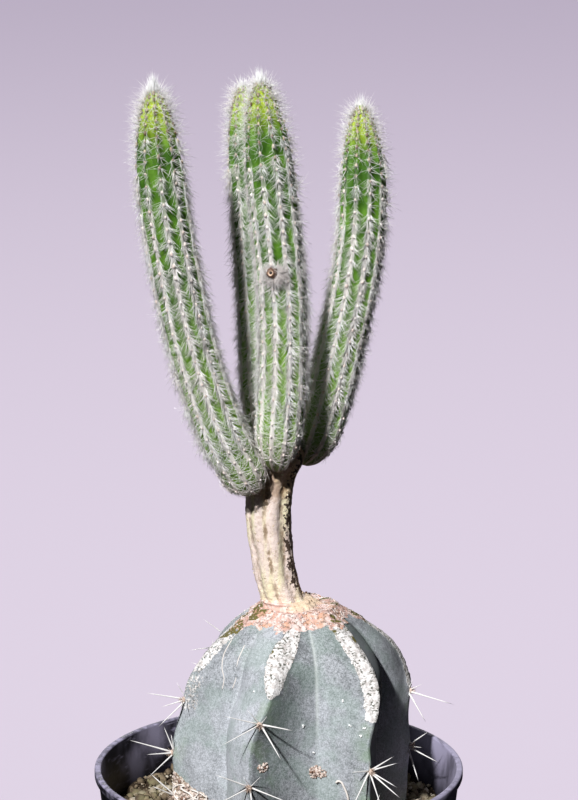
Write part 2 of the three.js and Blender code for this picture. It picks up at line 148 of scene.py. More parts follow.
class Finish:
    """One material, and short ways to add the nodes that these finishes share."""

    def __init__(self, name, roughness, specular=0.5):
        self.material = bpy.data.materials.new(name)
        self.material.use_nodes = True
        self.tree = self.material.node_tree
        self.shader = self.tree.nodes["Principled BSDF"]
        self.shader.inputs["Roughness"].default_value = roughness
        self.shader.inputs["Specular IOR Level"].default_value = specular
        self.spot = self.node("ShaderNodeTexCoord").outputs["Object"]
        self.base = "ffffff"

    def node(self, kind, **settings):
        made = self.tree.nodes.new(kind)
        for key, value in settings.items():
            setattr(made, key, value)
        return made

    def feed(self, socket, value):
        """Links an output to a socket, or sets the socket's own value. A text is a colour's code."""
        if isinstance(value, bpy.types.NodeSocket):
            self.tree.links.new(value, socket)
        else:
            socket.default_value = paint(value) if isinstance(value, str) else value

    def stretched(self, scale):
        mapping = self.node("ShaderNodeMapping")
        mapping.inputs["Scale"].default_value = scale
        self.feed(mapping.inputs["Vector"], self.spot)
        return mapping.outputs["Vector"]

    def noise(self, size, detail=4, stretch=(1, 1, 1)):
        """Cloudy values around 0.5, with features of about this many millimetres."""
        made = self.node("ShaderNodeTexNoise")
        made.inputs["Scale"].default_value = 1 / (size * MM)
        made.inputs["Detail"].default_value = detail
        self.feed(made.inputs["Vector"], self.stretched(stretch))
        return made.outputs["Fac"]

    def cells(self, size):
        """The distance to the nearest of scattered points, for grains and specks."""
        made = self.node("ShaderNodeTexVoronoi")
        made.inputs["Scale"].default_value = 1 / (size * MM)
        self.feed(made.inputs["Vector"], self.spot)
        return made.outputs["Distance"]

    def attribute(self, name):
        return self.node("ShaderNodeAttribute", attribute_name=name).outputs["Fac"]

    def along(self, axis):
        """The place along the X, Y or Z axis, in metres."""
        parts = self.node("ShaderNodeSeparateXYZ")
        self.feed(parts.inputs[0], self.spot)
        return parts.outputs[axis]

    def maths(self, operation, first, second):
        made = self.node("ShaderNodeMath", operation=operation)
        self.feed(made.inputs[0], first)
        self.feed(made.inputs[1], second)
        return made.outputs[0]

    def times(self, first, second):
        return self.maths("MULTIPLY", first, second)

    def plus(self, first, second):
        return self.maths("ADD", first, second)

    def band(self, value, low, high, to_low=0.0, to_high=1.0):
        """Maps a range of values smoothly to another, and holds still outside it."""
        made = self.node("ShaderNodeMapRange", interpolation_type="SMOOTHSTEP")
        for key, number in zip(range(5), (value, low, high, to_low, to_high)):
            self.feed(made.inputs[key], number)
        return made.outputs[0]

    def cloud(self, size, detail, low, high, to_low=0.0, to_high=1.0, stretch=(1, 1, 1)):
        """Soft-edged patches: noise of a size, through a band."""
        return self.band(self.noise(size, detail, stretch), low, high, to_low, to_high)

    def mark(self, name, size, detail, low, high):
        """A mask that is written on the points. Noise of a size breaks up its edge."""
        return self.band(self.plus(self.attribute(name), self.noise(size, detail)), low, high)

    def mix(self, share, first, second):
        made = self.node("ShaderNodeMix", data_type="RGBA")
        for key, value in ((0, share), (6, first), (7, second)):
            self.feed(made.inputs[key], value)
        return made.outputs[2]

    def colour(self, value):
        """Sets the colour that the coats go on."""
        self.base = value
        self.feed(self.shader.inputs["Base Color"], value)

    def coat(self, share, value):
        """Lays another colour over the one so far, where the share is above 0."""
        self.colour(self.mix(share, self.base, value))

    def sheen(self, weight):
        self.shader.inputs["Sheen Weight"].default_value = weight
        self.shader.inputs["Sheen Roughness"].default_value = 0.4

    def rough(self, value):
        self.feed(self.shader.inputs["Roughness"], value)

    def relief(self, height, depth, strength=1.0):
        """Bumps of this depth in millimetres, on top of any that are there already."""
        made = self.node("ShaderNodeBump")
        made.inputs["Distance"].default_value = depth * MM
        made.inputs["Strength"].default_value = strength
        self.feed(made.inputs["Height"], height)
        normal = self.shader.inputs["Normal"]
        if normal.links:
            self.feed(made.inputs["Normal"], normal.links[0].from_socket)
        self.feed(normal, made.outputs["Normal"])


print("pure white is", paint("ffffff"))

# %% [markdown]
# ## Floor
# The floor is a wide pale sheet, with no edge in sight. It is lilac grey, and painted a little darker far
# away as shade where the light falls off.
# Bounced light from such a bright floor would fill the deep shadows, so rays that measure
# diffuse light don't see it. A studio sheet far behind the plant shows no hard shadow. So the two lamps of
# the plant leave the floor out, and a very soft lamp straight above lights the floor alone: the plant
# then stands on a faint soft shadow close to the pot. The floor is stage, not part of the object.

# %% Floor
FLOOR_RADIUS = 9.0
FLOOR_NEAR, FLOOR_FAR = "d2c7d7", "aea3b6"
FLOOR_FALLOFF_SPAN = (0.2, 2.4)
FLOOR_STRENGTH, FLOOR_SOFTNESS = 3.6, 60

floor_mesh = bmesh.new()
bmesh.ops.create_circle(floor_mesh, cap_ends=True, segments=96, radius=FLOOR_RADIUS)
sheet = bpy.data.meshes.new("floor")
floor_mesh.to_mesh(sheet)
floor_mesh.free()
floor = bpy.data.objects.new("floor", sheet)
bpy.context.scene.collection.objects.link(floor)
paper = Finish("floor_paper", 0.9, 0.1)
reach = paper.node("ShaderNodeVectorMath", operation="LENGTH")
paper.feed(reach.inputs[0], paper.spot)
# Painted shade: the floor's colour darkens with distance, standing in for light falling off.
painted_falloff = paper.band(reach.outputs["Value"], *FLOOR_FALLOFF_SPAN)
paper.colour(paper.mix(painted_falloff, FLOOR_NEAR, FLOOR_FAR))
sheet.materials.append(paper.material)
floor.visible_diffuse = False
floor.visible_glossy = False
floor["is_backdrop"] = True


def light_floor(sun, state):
    """Lets a lamp light the floor alone with INCLUDE, or all but the floor with EXCLUDE."""
    group = bpy.data.collections.new(f"floor_of_{sun.name}")
    group.objects.link(floor)
    group.collection_objects[0].light_linking.link_state = state
    sun.light_linking.receiver_collection = group


light_floor(key_light, "EXCLUDE")
light_floor(back_light, "EXCLUDE")
light_floor(add_sun("floor_light", 0, 90, FLOOR_STRENGTH, FLOOR_SOFTNESS), "INCLUDE")
print("floor radius", FLOOR_RADIUS, "m")

# %% [markdown]
# ## Number helpers
# The plant's forms follow from a few rules: a smooth curve through given points, a smooth step between
# two heights, and a blend of two values.


# %% Number helpers
def blend(low, high, share):
    return low + (high - low) * share


def step(value, low, high):
    """0 below low, 1 above high, and smooth between them."""
    share = min(1, max(0, (value - low) / (high - low)))
    return share * share * (3 - 2 * share)


def hermite(start, end, leave, arrive, t):
    """A point on a cubic from start to end, with the two ways in which it leaves and arrives."""
    first = start * (2 * t**3 - 3 * t**2 + 1) + leave * (t**3 - 2 * t**2 + t)
    return first + end * (3 * t**2 - 2 * t**3) + arrive * (t**3 - t**2)


def spline(points, share):
    """The point at a share of all spans of the smooth curve through some number pairs."""
    last = len(points) - 1
    span = min(last - 1, int(share * last))
    near = [Vector(points[min(last, max(0, span + i))]) for i in (-1, 0, 1, 2)]
    return hermite(near[1], near[2], (near[2] - near[0]) / 2, (near[3] - near[1]) / 2, share * last - span)


def route(points, steps=16):
    """Points along a smooth line in space that doesn't overshoot between unevenly spaced ones."""
    given = [Vector(point) for point in points]
    padded = [given[0] * 2 - given[1], *given, given[-1] * 2 - given[-2]]
    line = []
    for a, b, c, d in zip(padded, padded[1:], padded[2:], padded[3:]):
        first, middle, final = (math.sqrt(v.length) for v in (b - a, c - b, d - c))
        leave = (c - b) + ((b - a) / first - (c - a) / (first + middle)) * middle
        arrive = (c - b) + ((d - c) / final - (d - b) / (middle + final)) * middle
        line += [hermite(b, c, leave, arrive, i / steps) for i in range(steps)]
    return [*line, given[-1]]


def ladder(rows, height):
    """The row of numbers at a height, blended between the two nearest rows, which start with theirs."""
    for low, high in zip(rows, rows[1:]):
        if height < high[0]:
            break
    share = min(1, max(0, (height - low[0]) / (high[0] - low[0])))
    return [blend(a, b, share) for a, b in zip(low[1:], high[1:])]


print("halfway between 0 and 10:", blend(0, 10, step(0.5, 0, 1)))

# %% [markdown]
# ## Mesh helpers
# A skin is a flat grid that is rolled up: its columns go round and its rows go along, and a rule puts
# each point in place. That is fast, and the same rule can also write down what the point is, such as how
# near it is to a furrow, for the materials. Spines and hairs are strands, grown by extruding a small
# ring of edges. Small things that repeat are made a few times and then stamped in place.

# %% Mesh helpers
WELD = 0.002 * MM
UP = Vector((0, 0, 1))


def rolled_skin(columns, rows, names, place):
    """A closed skin. place(turn, rise) gives a point in millimetres and a value for each name."""
    bm = bmesh.new()
    bmesh.ops.create_grid(bm, x_segments=columns, y_segments=rows, size=0.5)
    layers = [bm.verts.layers.float.new(name) for name in names]
    for vert in bm.verts:
        spot, values = place(vert.co.x + 0.5, vert.co.y + 0.5)
        vert.co = spot * MM
        for layer, value in zip(layers, values):
            vert[layer] = value
    bmesh.ops.remove_doubles(bm, verts=bm.verts, dist=WELD)
    bmesh.ops.recalc_face_normals(bm, faces=bm.faces)
    return bm


def first_ring(bm, root, way, radius, sides):
    """The closed end of a strand, in millimetres. Gives the edges that the strand grows from."""
    start = Matrix.Translation(root * MM) @ way.to_track_quat("Z", "Y").to_matrix().to_4x4()
    disc = bmesh.ops.create_circle(bm, cap_ends=True, segments=sides, radius=radius * MM, matrix=start)
    return list(dict.fromkeys(edge for vert in disc["verts"] for edge in vert.link_edges))


def next_ring(bm, edges):
    """Extrudes the open end of a strand. Gives its new points and edges."""
    grown = bmesh.ops.extrude_edge_only(bm, edges=edges)["geom"]
    ring = [part for part in grown if isinstance(part, bmesh.types.BMVert)]
    return ring, [part for part in grown if isinstance(part, bmesh.types.BMEdge) and part.is_boundary]


def add_strand(bm, root, heading, bend, length, radius, steps=3, sides=3, tip=0.35):
    """A tapering strand, in millimetres. bend is the rotation that each step adds to its heading."""
    edges = first_ring(bm, root, heading, radius, sides)
    centre = root * MM
    shrink = tip ** (1 / steps)
    for _ in range(steps):
        ring, edges = next_ring(bm, edges)
        move = heading * (length * MM / steps)
        centre = centre + move
        heading = bend @ heading
        bmesh.ops.translate(bm, verts=ring, vec=move)
        bmesh.ops.rotate(bm, verts=ring, cent=centre, matrix=bend)
        bmesh.ops.scale(bm, verts=ring, vec=(shrink,) * 3, space=Matrix.Translation(-centre))
    bmesh.ops.pointmerge(bm, verts=ring, merge_co=centre)


def add_fibre(bm, points, radius, sides=5):
    """A thin closed fibre through some points, in millimetres, for roots and twigs."""
    line = route(points, 4)
    way = (line[1] - line[0]).normalized()
    edges = first_ring(bm, line[0], way, radius, sides)
    for before, after in zip(line, line[1:]):
        ring, edges = next_ring(bm, edges)
        turn = way.rotation_difference((after - before).normalized()).to_matrix()
        way = (after - before).normalized()
        bmesh.ops.translate(bm, verts=ring, vec=(after - before) * MM)
        bmesh.ops.rotate(bm, verts=ring, cent=after * MM, matrix=turn)
    bmesh.ops.pointmerge(bm, verts=ring, merge_co=(line[-1] + way * radius) * MM)


def as_mesh(bm, name):
    """Turns a bmesh into a mesh with its faces pointing out, and frees it."""
    bmesh.ops.recalc_face_normals(bm, faces=bm.faces)
    mesh = bpy.data.meshes.new(name)
    bm.to_mesh(mesh)
    bm.free()
    return mesh


def stamp(bm, mesh, matrix, **values):
    """Adds a copy of a mesh, moved by a matrix, and writes each value on all of its points."""
    copy = mesh.copy()
    copy.transform(matrix)
    for name, value in values.items():
        layer = copy.attributes.new(name, "FLOAT", "POINT")
        layer.data.foreach_set("value", [value] * len(copy.vertices))
    bm.from_mesh(copy)
    bpy.data.meshes.remove(copy)


def twist(draw, most, axis, size=4):
    """A turn about an axis by at most so many radians either way."""
    return Matrix.Rotation(draw.uniform(-most, most), size, axis)


def stamping(*names):
    """An empty bmesh with the named values, for stamps."""
    bm = bmesh.new()
    for name in names:
        bm.verts.layers.float.new(name)
    return bm


def add_piece(bm, name, finish, slot, *replaced):
    """Makes the bmesh a piece of the object, with its finish, its body and what it stands for."""
    mesh = bpy.data.meshes.new(name)
    bm.to_mesh(mesh)
    bm.free()
    mesh.shade_smooth()
    mesh.materials.append(finish.material)
    piece = bpy.data.objects.new(name, mesh)
    bpy.context.scene.collection.objects.link(piece)
    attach(piece, "root")
    if replaced:
        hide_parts(*replaced)
    print(f"{name}: {len(mesh.loops) - 2 * len(mesh.polygons)} triangles")
    return piece


# %% [markdown]
# ## The pot
# A plain black nursery pot, a turned shell just over a millimetre thick. Its profile runs from the middle
# of the underside, round the foot and the lip, and back to the middle of the floor. Spin turns it
# round once. The drain slots are then cut through the floor.

# %% Pot sizes
POT_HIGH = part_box("pot")[1]
RIM_RADIUS = POT_HIGH.x / MM
POT_HEIGHT = POT_HIGH.z / MM
POT_WALL = 1.1
FOOT_RADIUS, FOOT_WIDTH = 39, 3
FLOOR_HEIGHT, FLOOR_THICKNESS = 4, 1.2
LIP_HEIGHT, LIP_REACH, LIP_EASE = 2.4, 0.7, 0.5
POT_STEPS = 192
POT_LEAN = (RIM_RADIUS - LIP_REACH - FOOT_RADIUS) / POT_HEIGHT
CORNER = 2
DRAIN_SLOTS, DRAIN_CIRCLE, DRAIN_SIZE = 8, 27, (10, 3.6)
print("pot rim", RIM_RADIUS, "mm, height", round(POT_HEIGHT, 2), "mm")


def pot_outside(height):
    return FOOT_RADIUS + POT_LEAN * height


def pot_inside(height):
    return pot_outside(height) - POT_WALL


# %% Pot profile
def arc(centre, radius, start, end, steps=5):
    """Points of a round stretch of a profile, with angles in degrees from outwards to upwards."""
    turns = [math.radians(blend(start, end, i / steps)) for i in range(steps + 1)]
    return [(centre[0] + radius * math.cos(turn), centre[1] + radius * math.sin(turn)) for turn in turns]


def pot_profile():
    lip_foot = POT_HEIGHT - LIP_HEIGHT
    floor_top = FLOOR_HEIGHT + FLOOR_THICKNESS
    edge = pot_inside(POT_HEIGHT)
    walls = [(pot_outside(lip_foot * i / 8), lip_foot * i / 8) for i in range(9)]
    inner = [blend(POT_HEIGHT - 2 * LIP_EASE, floor_top + CORNER, i / 8) for i in range(9)]
    return [
        (0, FLOOR_HEIGHT),
        (FOOT_RADIUS - FOOT_WIDTH - 1, FLOOR_HEIGHT),
        (FOOT_RADIUS - FOOT_WIDTH, 0.2),
        (FOOT_RADIUS - FOOT_WIDTH + 0.3, 0),
        (FOOT_RADIUS - 0.3, 0),
        *walls[1:],
        *arc((RIM_RADIUS - LIP_EASE / 2, lip_foot + LIP_EASE), LIP_EASE / 2, -90, 0, 3),
        *arc((RIM_RADIUS - LIP_EASE, POT_HEIGHT - LIP_EASE), LIP_EASE, 0, 90),
        *arc((edge + LIP_EASE, POT_HEIGHT - LIP_EASE), LIP_EASE, 90, 180),
        *[(pot_inside(height), height) for height in inner],
        (pot_inside(floor_top) - CORNER, floor_top),
        (0, floor_top),
    ]


print("pot profile points:", len(pot_profile()))


# %% Pot shell
def turned(profile, steps):
    """A profile in millimetres, spun once round the Z axis."""
    bm = bmesh.new()
    verts = [bm.verts.new((radius * MM, 0, height * MM)) for radius, height in profile]
    edges = [bm.edges.new(pair) for pair in zip(verts, verts[1:])]
    bmesh.ops.spin(
        bm, geom=verts + edges, cent=(0, 0, 0), axis=(0, 0, 1), angle=math.tau, steps=steps, use_merge=True
    )
    bmesh.ops.remove_doubles(bm, verts=bm.verts, dist=WELD)
    bmesh.ops.recalc_face_normals(bm, faces=bm.faces)
    return bm


def slot_cutters():
    """Blocks that stand where the drain slots are."""
    bm = bmesh.new()
    for i in range(DRAIN_SLOTS):
        middle = Matrix.Translation(Vector((DRAIN_CIRCLE, 0, FLOOR_HEIGHT + FLOOR_THICKNESS / 2)) * MM)
        size = Matrix.Diagonal((DRAIN_SIZE[0] * MM, DRAIN_SIZE[1] * MM, FLOOR_THICKNESS * 3 * MM, 1))
        turn = Matrix.Rotation(math.tau * i / DRAIN_SLOTS, 4, "Z")
        bmesh.ops.create_cube(bm, size=1, matrix=turn @ middle @ size)
    return bm


def carve(bm, cutter):
    """The bmesh less the cutter, by a Boolean modifier that is applied at once."""
    meshes = [as_mesh(part, "carving") for part in (bm, cutter)]
    blank, tool = (bpy.data.objects.new("carving", mesh) for mesh in meshes)
    for part in (blank, tool):
        bpy.context.scene.collection.objects.link(part)
    boolean = blank.modifiers.new("cut", "BOOLEAN")
    boolean.object = tool
    boolean.solver = "EXACT"
    cut = bmesh.new()
    cut.from_object(blank, bpy.context.evaluated_depsgraph_get())
    for part, mesh in zip((blank, tool), meshes):
        bpy.data.objects.remove(part)
        bpy.data.meshes.remove(mesh)
    return cut


pot_bm = carve(turned(pot_profile(), POT_STEPS), slot_cutters())
print("pot shell faces:", len(pot_bm.faces))

# %% [markdown]
# Black polypropylene has a satin shine. Years of watering leave lime and dust: a cloudy veil inside near
# the rim, smears lower down, and a dull grey edge on the lip, where hands and water wear it. Inside on the
# right, a pale cloudy patch is partly dust and partly painted light, brightening the pool of lamplight
# there.

# %% Pot plastic
plastic = Finish("pot_plastic", 0.45, 0.2)
veil = plastic.cloud(9, 6, 0.42, 0.72, stretch=(1, 1, 0.6))
smears = plastic.cloud(5, 5, 0.5, 0.75, stretch=(1, 1, 4))
high = plastic.band(plastic.along("Z"), 0.07, 0.088)
dust_and_light = plastic.times(plastic.maths("MAXIMUM", veil, smears), plastic.times(high, 0.6))
lip = plastic.band(plastic.along("Z"), 0.0874, 0.0879)
worn = plastic.times(lip, plastic.cloud(2.5, 5, 0.35, 0.65, 0.25, 0.95))
# Painted light: a pale cloudy patch inside on the right, partly dust and partly the pool of lamplight
# there.
right = plastic.times(plastic.band(plastic.along("X"), 0.032, 0.042), high)
right_dust_and_light = plastic.times(right, plastic.cloud(6, 6, 0.3, 0.6, 0.35, 0.85, (1, 1, 0.8)))
dust_and_light = plastic.maths("MAXIMUM", plastic.maths("MAXIMUM", dust_and_light, worn), right_dust_and_light)
plastic.colour(plastic.mix(dust_and_light, "17161c", "a9a3bd"))
plastic.rough(plastic.band(dust_and_light, 0, 0.6, 0.4, 0.85))
plastic.relief(plastic.noise(0.5, 3), 0.03)
plastic.relief(plastic.noise(14, 2), 0.25, 0.6)
add_piece(pot_bm, "pot_shell", plastic, "pot_plastic", "pot")

# %% [markdown]
# ## The rootstock's form
# The rootstock has six sharp ribs with nearly flat flanks. Its profile gives a crest's radius at each
# height, its axis leans a little to the right higher up, and its ribs twist slightly there. These are the
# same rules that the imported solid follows, so the fine skin lies on it.

# %% Rootstock sizes
STOCK_PROFILE = [
    (9, 46),
    (24, 55),
    (31, 70),
    (32.2, 86),
    (32.3, 99),
    (31.6, 111.5),
    (27.2, 120.5),
    (18.2, 128.2),
    (12.4, 131.8),
    (10, 133.8),
]
STOCK_TOP = STOCK_PROFILE[-1][1]
STOCK_RIBS, FIRST_RIB = 6, -80
STOCK_BEND, STOCK_TWIST = (100, 120), 7
AXIS_BELOW, AXIS_ABOVE = 3.5, 5
FURROW, SHALLOWING, FLANK_BULGE = 0.7, 0.2, 0.055
SHOULDER = 112
FRONT_RIB, FRONT_FURROW_AT = 1, (38.5, 27.5)
FRONT_FURROW, FRONT_BULGE = 0.66, -0.03
STOCK_CURVE = [spline(STOCK_PROFILE, i / 400) for i in range(401)]
STOCK_HEIGHTS = [point.y for point in STOCK_CURVE]


def crest_radius(height):
    return STOCK_CURVE[min(400, bisect.bisect_left(STOCK_HEIGHTS, height))].x


def furrow_after(rib, height):
    """The degrees from a rib's crest to the furrow after it. The front valley is lopsided."""
    if rib != FRONT_RIB:
        return 180 / STOCK_RIBS
    return blend(*FRONT_FURROW_AT, step(height, *STOCK_BEND))


def flank_at(degrees, height):
    """The flank's number, the turn from 0 on its crest to 1 in its furrow, and the flank's width."""
    rib, past = divmod(degrees % 360, 360 / STOCK_RIBS)
    after = furrow_after(rib, height)
    if past < after:
        return int(rib) * 2, past / after, after
    width = 360 / STOCK_RIBS - after
    return int(rib) * 2 + 1, (360 / STOCK_RIBS - past) / width, width


def rib_share(degrees, height):
    """The skin's radius as a share of the crest's."""
    flank, turn, width = flank_at(degrees, height)
    depth = FRONT_FURROW if flank // 2 == FRONT_RIB else FURROW
    bulge = FRONT_BULGE if flank == FRONT_RIB * 2 else FLANK_BULGE
    furrow = depth + SHALLOWING * step(height, SHOULDER, STOCK_TOP)
    half = math.radians(width)
    straight = math.sin(turn * half) + furrow * math.sin((1 - turn) * half)
    return furrow * math.sin(half) / straight + bulge * math.sin(math.pi * turn)


def stock_point(degrees, radius, height):
    """The point in millimetres at an angle from the first crest and a radius from the axis."""
    rise = step(height, *STOCK_BEND)
    angle = math.radians(FIRST_RIB + degrees + STOCK_TWIST * rise)
    centre = blend(AXIS_BELOW, AXIS_ABOVE, rise)
    return Vector((centre + radius * math.sin(angle), -radius * math.cos(angle), height))


def stock_out(degrees, height):
    """The level direction away from the axis."""
    return (stock_point(degrees, 1, height) - stock_point(degrees, 0, height)).normalized()


print("crest radius at the pot's rim:", round(crest_radius(POT_HEIGHT), 2), "mm")

# %% [markdown]
# ## Marks on the rootstock
# Old ribs wear a band of white cork along their crests, raised a little and rough. Round the graft lies
# a crust of healed tissue, with moss on its left. Each mark is a mask from 0 to 1 that the skin writes on
# its points: it raises the surface there, and the material reads it for the colour. A cork band is a
# list of heights, from its foot up, each with the degrees to one side of the crest and half its width.

# %% Cork bands
CORK_BANDS = [
    [(117.5, 2, 2), (120, 1, 3), (124, 0, 3.6), (128, -3, 4.4), (131, -6, 5)],
    [(116.4, 0.4, 1.8), (120.3, -0.6, 2.8), (122.8, 0, 3.4), (125, 1.8, 3.9), (128, 4.5, 3.2), (130, 9, 2)],
    [(108, -1.2, 1.4), (112.4, -2, 2), (117, -2.6, 2.5), (123, -2.4, 2.7), (127, -1.6, 2.9), (130, 0, 2.6)],
    [(108, 0, 1.6), (116, 0, 2), (124, 0, 2.4), (130, 0, 3)],
    [(112, 0, 1.6), (118, 0, 2.4), (130, 0, 2.8)],
    [(114, 0, 1.6), (120, 0, 2.6), (130, 0, 2.8)],
]
CORK_EDGE, WORN_CORK = 0.35, 0.56
LEFT_RIB, RIGHT_RIB = 0, 3


def ragged(spot, size, amount):
    """A wandering offset, for edges that are not straight."""
    return amount * (noise.noise(spot / size) + 0.5 * noise.noise(spot * 2.3 / size))


def from_crest(degrees):
    """The nearest rib, and the degrees from its crest, negative to the left."""
    rib = round(degrees * STOCK_RIBS / 360)
    return rib % STOCK_RIBS, degrees - rib * 360 / STOCK_RIBS


def cork_mask(degrees, height, spot):
    """1 on the cork band of the nearest rib, with a rounded foot. The left rib's band is worn thin."""
    rib, past = from_crest(degrees)
    shift, width = ladder(CORK_BANDS[rib], height)
    across = crest_radius(height) * math.radians(abs(past - shift))
    above = height - CORK_BANDS[rib][0][0]
    if above < width:
        across = math.hypot(across, width - above)
    worn = WORN_CORK if rib == LEFT_RIB else 1
    return worn * (1 - step(across + ragged(spot, 1.3, 0.4), width - CORK_EDGE, width + CORK_EDGE))


print("cork bands end at", [band[0][0] for band in CORK_BANDS], "mm")

# %% Lime, crust and moss
CRUST_FOOT, CRUST_DIP = 130.5, 2.2
LIME_SPAN, LIME_THICKNESS = (104, 107, 116.5, 118.5), 0.45
MOSS_SPAN, MOSS_LEFT, MOSS_RIGHT = (123.5, 126.5), 5, 152
DRY_FOOT = (88, 0.24)


def crust_mask(degrees, height, spot):
    """1 on the crust round the graft. It reaches further down along the outer ribs."""
    rib, past = from_crest(degrees)
    dip = CRUST_DIP * (1 - step(abs(past), 4, 22)) if rib in (LEFT_RIB, RIGHT_RIB) else 0
    foot = CRUST_FOOT - dip + ragged(spot, 2.2, 1.1)
    return step(height, foot - 0.4, foot + 0.4)


def lime_mask(degrees, height):
    """A veil of lime on the left rib, below its cork."""
    rib, past = from_crest(degrees)
    if rib != LEFT_RIB:
        return 0
    foot, full, fading, top = LIME_SPAN
    upright = step(height, foot, full) * (1 - step(height, fading, top))
    return LIME_THICKNESS * upright * (1 - step(past, 6, 14))


def moss_mask(degrees, height, spot):
    """Moss grows in the crust on the left, and a little on the right."""
    left, right = (math.cos(math.radians(degrees - side)) for side in (MOSS_LEFT, MOSS_RIGHT))
    near = max(1.05 * left, right) + ragged(spot, 3.5, 0.5)
    return step(height, *MOSS_SPAN) * step(near, 0.62, 1.02)


def dry_mask(degrees, height, spot):
    """The left rib's foot has dried to flaking skin. Its edge rises towards the crest."""
    rib, past = from_crest(degrees)
    if rib != LEFT_RIB:
        return 0
    top, slope = DRY_FOOT
    return 1 - step(height + slope * max(0, past) + ragged(spot, 2.5, 0.9), top - 0.5, top + 0.5)


print("crust from", CRUST_FOOT, "mm up")

# %% [markdown]
# A pale wax covers the skin, and how pale the skin is goes by the flank: one number at its crest and one in
# its furrow. The front-right rib's right flank, which faces away from the lamp, is painted nearly black as
# shade, and painted shade darkens the skin near the crown and near the soil.

# %% Frost and painted shade
FLANK_FROST_AND_SHADE = [
    (0.44, 0.46),
    (0.6, 0.66),
    (0.1, 0.36),
    (0.34, 0.46),
    # Painted shade: the front-right rib's right flank faces away from the lamp and is painted nearly black.
    (-0.3, -0.1),
    (0.62, 0.55),
    (0.5, 0.5),
    (0.4, 0.4),
    (0.5, 0.5),
    (0.45, 0.45),
    (0.5, 0.5),
    (0.5, 0.5),
]
PAINTED_SHADE_LOSS = 0.17
SHADED_TOP, SHADED_FOOT = (108, 122), (92, 80)


def frost_and_shade_at(flank, turn, height):
    """How pale the skin is, from wax and painted shade. It fades into the next flank across the furrow."""
    here, beside = (blend(*FLANK_FROST_AND_SHADE[side], step(turn, 0, 0.8)) for side in (flank, flank ^ 1))
    # Painted shade: the skin darkens near the crown and near the soil.
    shaded = step(height, *SHADED_TOP) + step(height, *SHADED_FOOT)
    return blend(here, beside, 0.5 * step(turn, 0.85, 1)) - PAINTED_SHADE_LOSS * shaded


print("flanks:", len(FLANK_FROST_AND_SHADE))

# %% [markdown]
# ## The rootstock's skin
# The flanks are smooth but not true: they dip and swell by a fraction of a millimetre, and each crest
# swells at its areoles. The left rib is a little dented above its upper areole. The cork and the crust are
# rough, so fine noise raises them.

# %% Areoles of the rootstock
STOCK_AREOLES = [(109, 93.5, 81), (110, 92.5), (95, 81), (107, 91.5), (110, 96, 82), (107, 93, 80)]
AREOLE_SWELL = 0.5


def stock_areoles():
    """The rib, height and degrees of each areole, and its distance from the axis."""
    for rib, heights in enumerate(STOCK_AREOLES):
        for height in heights:
            radius = crest_radius(height) + AREOLE_SWELL - dent(rib * 2, 0, height)
            yield rib, height, rib * 360 / STOCK_RIBS, radius


def areole_swell(degrees, height):
    """How much a crest swells near its areoles."""
    rib, _ = from_crest(degrees)
    near = min(abs(height - areole) for areole in STOCK_AREOLES[rib])
    turn = flank_at(degrees, height)[1]
    return AREOLE_SWELL * (1 - step(near, 0, 7)) * (1 - step(turn, 0, 0.3))


print("areoles:", sum(len(rib) for rib in STOCK_AREOLES))

# %% Rootstock skin
STOCK_COLUMNS, STOCK_ROWS = 312, 150
DENT_AT, DENT_DEPTH, DENT_REACH = 108, 2.2, 6
CROWN_SHARE, FOOT_SHARE = 0.04, 0.02
CORK_RAISED, CRUST_RAISED, DRY_RAISED = 0.3, 0.4, 0.2
CORK_ROUGH, CRUST_ROUGH, DRY_ROUGH = 0.2, 0.3, 0.35
FRONT_CREASE, OTHER_CREASE = 0.55, 0.15


def dent(flank, turn, height):
    """How far the left rib's crest lies inside the plain form."""
    if flank not in (0, 11):
        return 0
    return DENT_DEPTH * math.exp(-(((height - DENT_AT) / DENT_REACH) ** 2)) * (1 - step(turn, 0, 0.9))


def stock_angle(turn, height):
    """The degrees of a column, so that each crest and each furrow has its own column."""
    rib, part = divmod(turn * STOCK_RIBS, 1)
    after = furrow_after(rib % STOCK_RIBS, height)
    width = 360 / STOCK_RIBS
    return rib * width + (2 * part * after if part < 0.5 else after + (2 * part - 1) * (width - after))


def stock_skin(turn, rise):
    """The skin closes over the crown, and the first rows open out from the middle of the foot."""
    reach = rise * (1 + CROWN_SHARE)
    profile = spline(STOCK_PROFILE, min(1, reach))
    closing = 1 - max(0, reach - 1) / CROWN_SHARE
    opening = min(1, rise / FOOT_SHARE)
    height = profile.y
    degrees = stock_angle(turn, height)
    flank, around, _ = flank_at(degrees, height)
    radius = profile.x * rib_share(degrees, height)
    plain = stock_point(degrees, radius, height)
    cork = max(cork_mask(degrees, height, plain), lime_mask(degrees, height))
    crust = crust_mask(degrees, height, plain)
    dry = dry_mask(degrees, height, plain)
    grain = noise.noise(plain / 0.9) + 0.6 * noise.noise(plain / 0.45)
    raised = CORK_RAISED * cork + CRUST_RAISED * crust + DRY_RAISED * dry
    rough = CORK_ROUGH * cork + CRUST_ROUGH * crust + DRY_ROUGH * dry
    swell = 0.35 * noise.noise(plain / 11) + 0.08 * noise.noise(plain / 3) - dent(flank, around, height)
    radius += (raised + rough * grain + swell + areole_swell(degrees, height)) * closing
    spot = stock_point(degrees, radius * closing * opening, height)
    depth = FRONT_CREASE if flank // 2 == FRONT_RIB else OTHER_CREASE
    crease = step(around, 0.94, 0.99) * step(height, 98, 114) * depth
    marks = (cork, crust, dry, moss_mask(degrees, height, plain), crease)
    return spot, (around, frost_and_shade_at(flank, around, height), *marks)


STOCK_MARKS = ("furrow", "frost_and_shade", "cork", "crust", "dry", "moss", "crease")
stock_bm = rolled_skin(STOCK_COLUMNS, STOCK_ROWS, STOCK_MARKS, stock_skin)
print("rootstock points:", len(stock_bm.verts))

